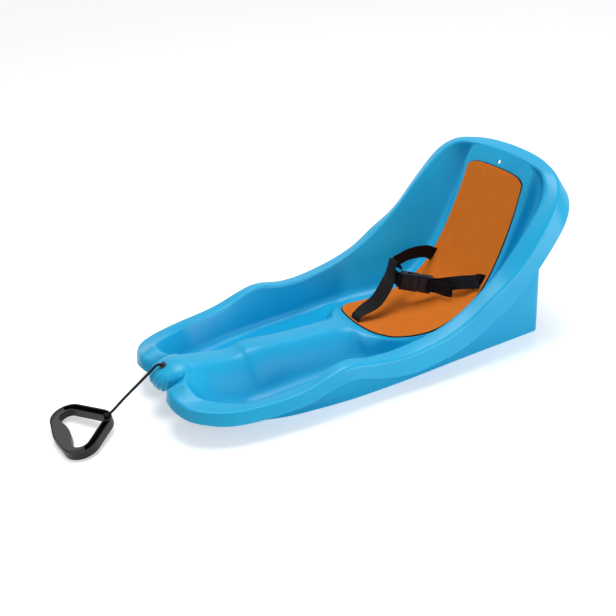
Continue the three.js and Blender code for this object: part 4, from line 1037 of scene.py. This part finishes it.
def left_belt():
    end = PLUG_START + PLUG_LENGTH
    eye = end - PLUG_BAR / 2
    hold = at_buckle(
        [
            (end + WRAP * 2, -WRAP),
            (eye, -WRAP),
            (end - PLUG_BAR - WRAP * 0.85, 0),
            (eye, WRAP),
            (end + WRAP * 2, WRAP * 1.2),
        ]
    )
    sag = shared([(0.334, 0.296, 0.284), (0.265, 0.277, 0.277), (0.190, 0.264, 0.260)])
    free = shared([(0.194, 0.247, 0.226), (0.228, 0.256, 0.222)])
    points = [*through_slot(SLOTS[1]), *sag, *hold, *free]
    belt = strap("left_webbing", points, ALONG_SLOT[1], ACROSS_BUCKLE)
    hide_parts("left_belt")
    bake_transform(belt)


def crotch_strap():
    route = shared(
        [
            (-0.020, 0.036, 0.190),
            (-0.061, 0.081, 0.207),
            (-0.107, 0.113, 0.248),
            (-0.165, 0.140, 0.296),
            (-0.200, 0.153, 0.345),
            (-0.208, 0.163, 0.392),
            (-0.208, 0.174, 0.352),
            (-0.208, 0.176, 0.330),
        ]
    )
    across, facing = Vector((1, 0, 0)), Vector((0.66, 0.62, -0.42))
    made = strap("crotch_webbing", [*through_slot(CROTCH_SLOT), *route], across, facing, 0.4, 0.5)
    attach(made, "sled")
    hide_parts("crotch_strap")


right_belt()
left_belt()
crotch_strap()


# ---------------------------------------------------------------- raised details of the buckle
BAR_STEPS, BAR_SINK = 7, 0.3


def buckle_relief(name, body, bars, face_height, width):
    """Rounded bars on the face of a buckle half, each from one place along it to another, in millimetres."""
    joined = bmesh.new()
    for start, end, height in bars:
        rows = []
        for i in range(BAR_STEPS + 1):
            a = math.pi * i / BAR_STEPS
            along = (start + end) / 2 - (end - start) / 2 * math.cos(a)
            rise = face_height - BAR_SINK + (height + BAR_SINK) * math.sin(a) ** 0.6
            rows.append([BUCKLE @ Vector((along * MM, rise * MM, width * MM * (j / 4 - 1) / 2)) for j in range(9)])
        strip = draped_grid("bar", rows, buckle_plastic)
        modifier(strip, "SOLIDIFY", thickness=0.5 * MM, offset=0)
        applied(strip)
        joined.from_mesh(strip.data)
        bpy.data.objects.remove(strip)
    bmesh.ops.recalc_face_normals(joined, faces=joined.faces)
    made = keep(name, joined, buckle_plastic)
    sharpen(made, 50)
    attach(made, body)


GRIP_RIBS = [(3.6 + 2.1 * k, 5.0 + 2.1 * k, 0.8) for k in range(5)]
FRONT_RIBS = [(17.6 + 2.6 * k, 19.4 + 2.6 * k, 1.1) for k in range(3)]
buckle_relief("socket_ribs", "sled", GRIP_RIBS + FRONT_RIBS, 6, 28)
buckle_relief("socket_face", "sled", [(25.6, 35.9, 1.3)], 6, 30)
buckle_relief("plug_face", "buckle_plug", [(37, 50, 1.9)], 5, 30)


# ---------------------------------------------------------------- cord on the reel
# from the middle of the reel: half its width, its wall, the drum's clearance and flange, and a gap
WINDING_START = (-17 + 2.5 + 0.8 + 1.5 + 0.3) * MM
# 17 mm between the drum's flanges, less a gap at each
WINDING_WIDTH = 16.4 * MM
# two layers, one cord apart
LAYER_RADII = (11.7 * MM, 16.2 * MM)
LAYER_TURNS, TURN_STEPS = 3, 28
# the lead starts half a cord and a gap over this radius, a fifth of the reel's radius behind its axis
LEAD_RADIUS, LEAD_SHARE, REEL_RADIUS = 20.19 * MM, 0.2, 25.99 * MM


def reel_windings():
    """The cord wound on the drum in two layers, and its lead up to the eyelet."""
    centre = Vector((0, REEL_Y, REEL_Z))
    route = []
    steps = LAYER_TURNS * TURN_STEPS
    for layer, radius in enumerate(LAYER_RADII):
        for k in range(steps + 1):
            a = 2 * math.pi * k / TURN_STEPS
            share = k / steps if layer == 0 else 1 - k / steps
            x = WINDING_START + CORD_RADIUS + share * (WINDING_WIDTH - 2 * CORD_RADIUS)
            route.append(centre + Vector((x, radius * math.cos(a), radius * math.sin(a))))
    winding = tube("cord_winding", route, CORD_RADIUS * 0.98, cord_braid, around=12)
    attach(winding, "drum")
    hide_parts("drum_winding")
    straight = [EYELET @ Vector((0, 0, -EYELET_LENGTH - SEAM_GAP - way)) for way in (3 * CORD_RADIUS, 0)]
    top = centre + Vector((0, LEAD_SHARE * REEL_RADIUS, LEAD_RADIUS + CORD_RADIUS + SEAM_GAP))
    lead = tube("cord_lead", smooth_route([top, *straight], 8), CORD_RADIUS, cord_braid)
    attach(lead, "sled")
    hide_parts("reel_cord")


reel_windings()


# ---------------------------------------------------------------- finishes of the nodes that stay
def finish(names, made, width, segments=2):
    """Gives nodes of the solid model their material and, unless the width is zero, rounded edges."""
    for name in names:
        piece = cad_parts[name]
        piece.data.materials.clear()
        piece.data.materials.append(made)
        if width:
            limit = math.radians(40)
            modifier(piece, "BEVEL", width=width, segments=segments, limit_method="ANGLE", angle_limit=limit)


finish(["buckle_socket", "buckle_plug", "buckle_upper_arm", "buckle_lower_arm"], buckle_plastic, 0.5 * MM)
finish(["right_stopper", "left_stopper", "crotch_stopper", "cord_eyelet"], buckle_plastic, 0.3 * MM)
finish(["pull_handle"], handle_plastic, HANDLE_EDGE, 3)
finish(["reel_housing", "reel_cover", "cord_drum"], reel_plastic, 0.3 * MM)
finish(["recoil_spring", "reel_axle"], steel, 0)
finish([f"cover_screw_{k}" for k in (1, 2, 3)] + ["mount_screw_right", "mount_screw_left"], steel, 0.2 * MM)


# ---------------------------------------------------------------- floor, lamps and world
FLOOR_GLOW, WORLD_LIGHT = 0.45, 0.24
LAMPS = (
    ("top", (-0.3, 0.1, 2.4), 42, 1.4),
    ("side", (2.2, 1.1, 0.55), 29, 1.3),
    ("front", (0.5, -1.9, 1.5), 5, 1.4),
)


def seen(tree):
    """1 for rays from the camera and for those in reflections, and 0 for all others."""
    rays = node(tree, "ShaderNodeLightPath").outputs
    camera, glossy = rays["Is Camera Ray"], rays["Is Glossy Ray"]
    return node(tree, "ShaderNodeMath", {"operation": "MAXIMUM"}, _0=camera, _1=glossy).outputs[0]


def white_floor():
    """A smooth white table: it keeps the sled's shadow and a weak reflection, and shows white to the camera."""
    made, tree, shader = material("white_floor", "#F2F5F6", 0.3)
    glow = node(tree, "ShaderNodeMath", {"operation": "MULTIPLY"}, _0=seen(tree), _1=FLOOR_GLOW)
    shader.inputs["Emission Color"].default_value = (1, 1, 1, 1)
    tree.links.new(glow.outputs[0], shader.inputs["Emission Strength"])
    return made


def stage():
    """The floor, the area lamps and a world that lights the sled weakly."""
    bm = bmesh.new()
    bmesh.ops.create_grid(bm, x_segments=1, y_segments=1, size=6)
    keep("floor", bm, white_floor())
    for name, place, energy, size in LAMPS:
        data = bpy.data.lights.new(name, "AREA")
        data.energy = energy
        data.size = size
        lamp = bpy.data.objects.new(name, data)
        lamp.location = place
        lamp.rotation_euler = (Vector((0, 0, 0.1)) - Vector(place)).to_track_quat("-Z", "Y").to_euler()
        scene.collection.objects.link(lamp)
    world = bpy.data.worlds.new("studio")
    world.use_nodes = True
    tree = world.node_tree
    background = tree.nodes["Background"]
    background.inputs[0].default_value = (1, 1, 1, 1)
    # white to the camera and in reflections, and a weaker light on the object
    level = node(tree, "ShaderNodeMapRange", Value=seen(tree), To_Min=WORLD_LIGHT, To_Max=1.0)
    tree.links.new(level.outputs[0], background.inputs[1])
    scene.world = world


stage()
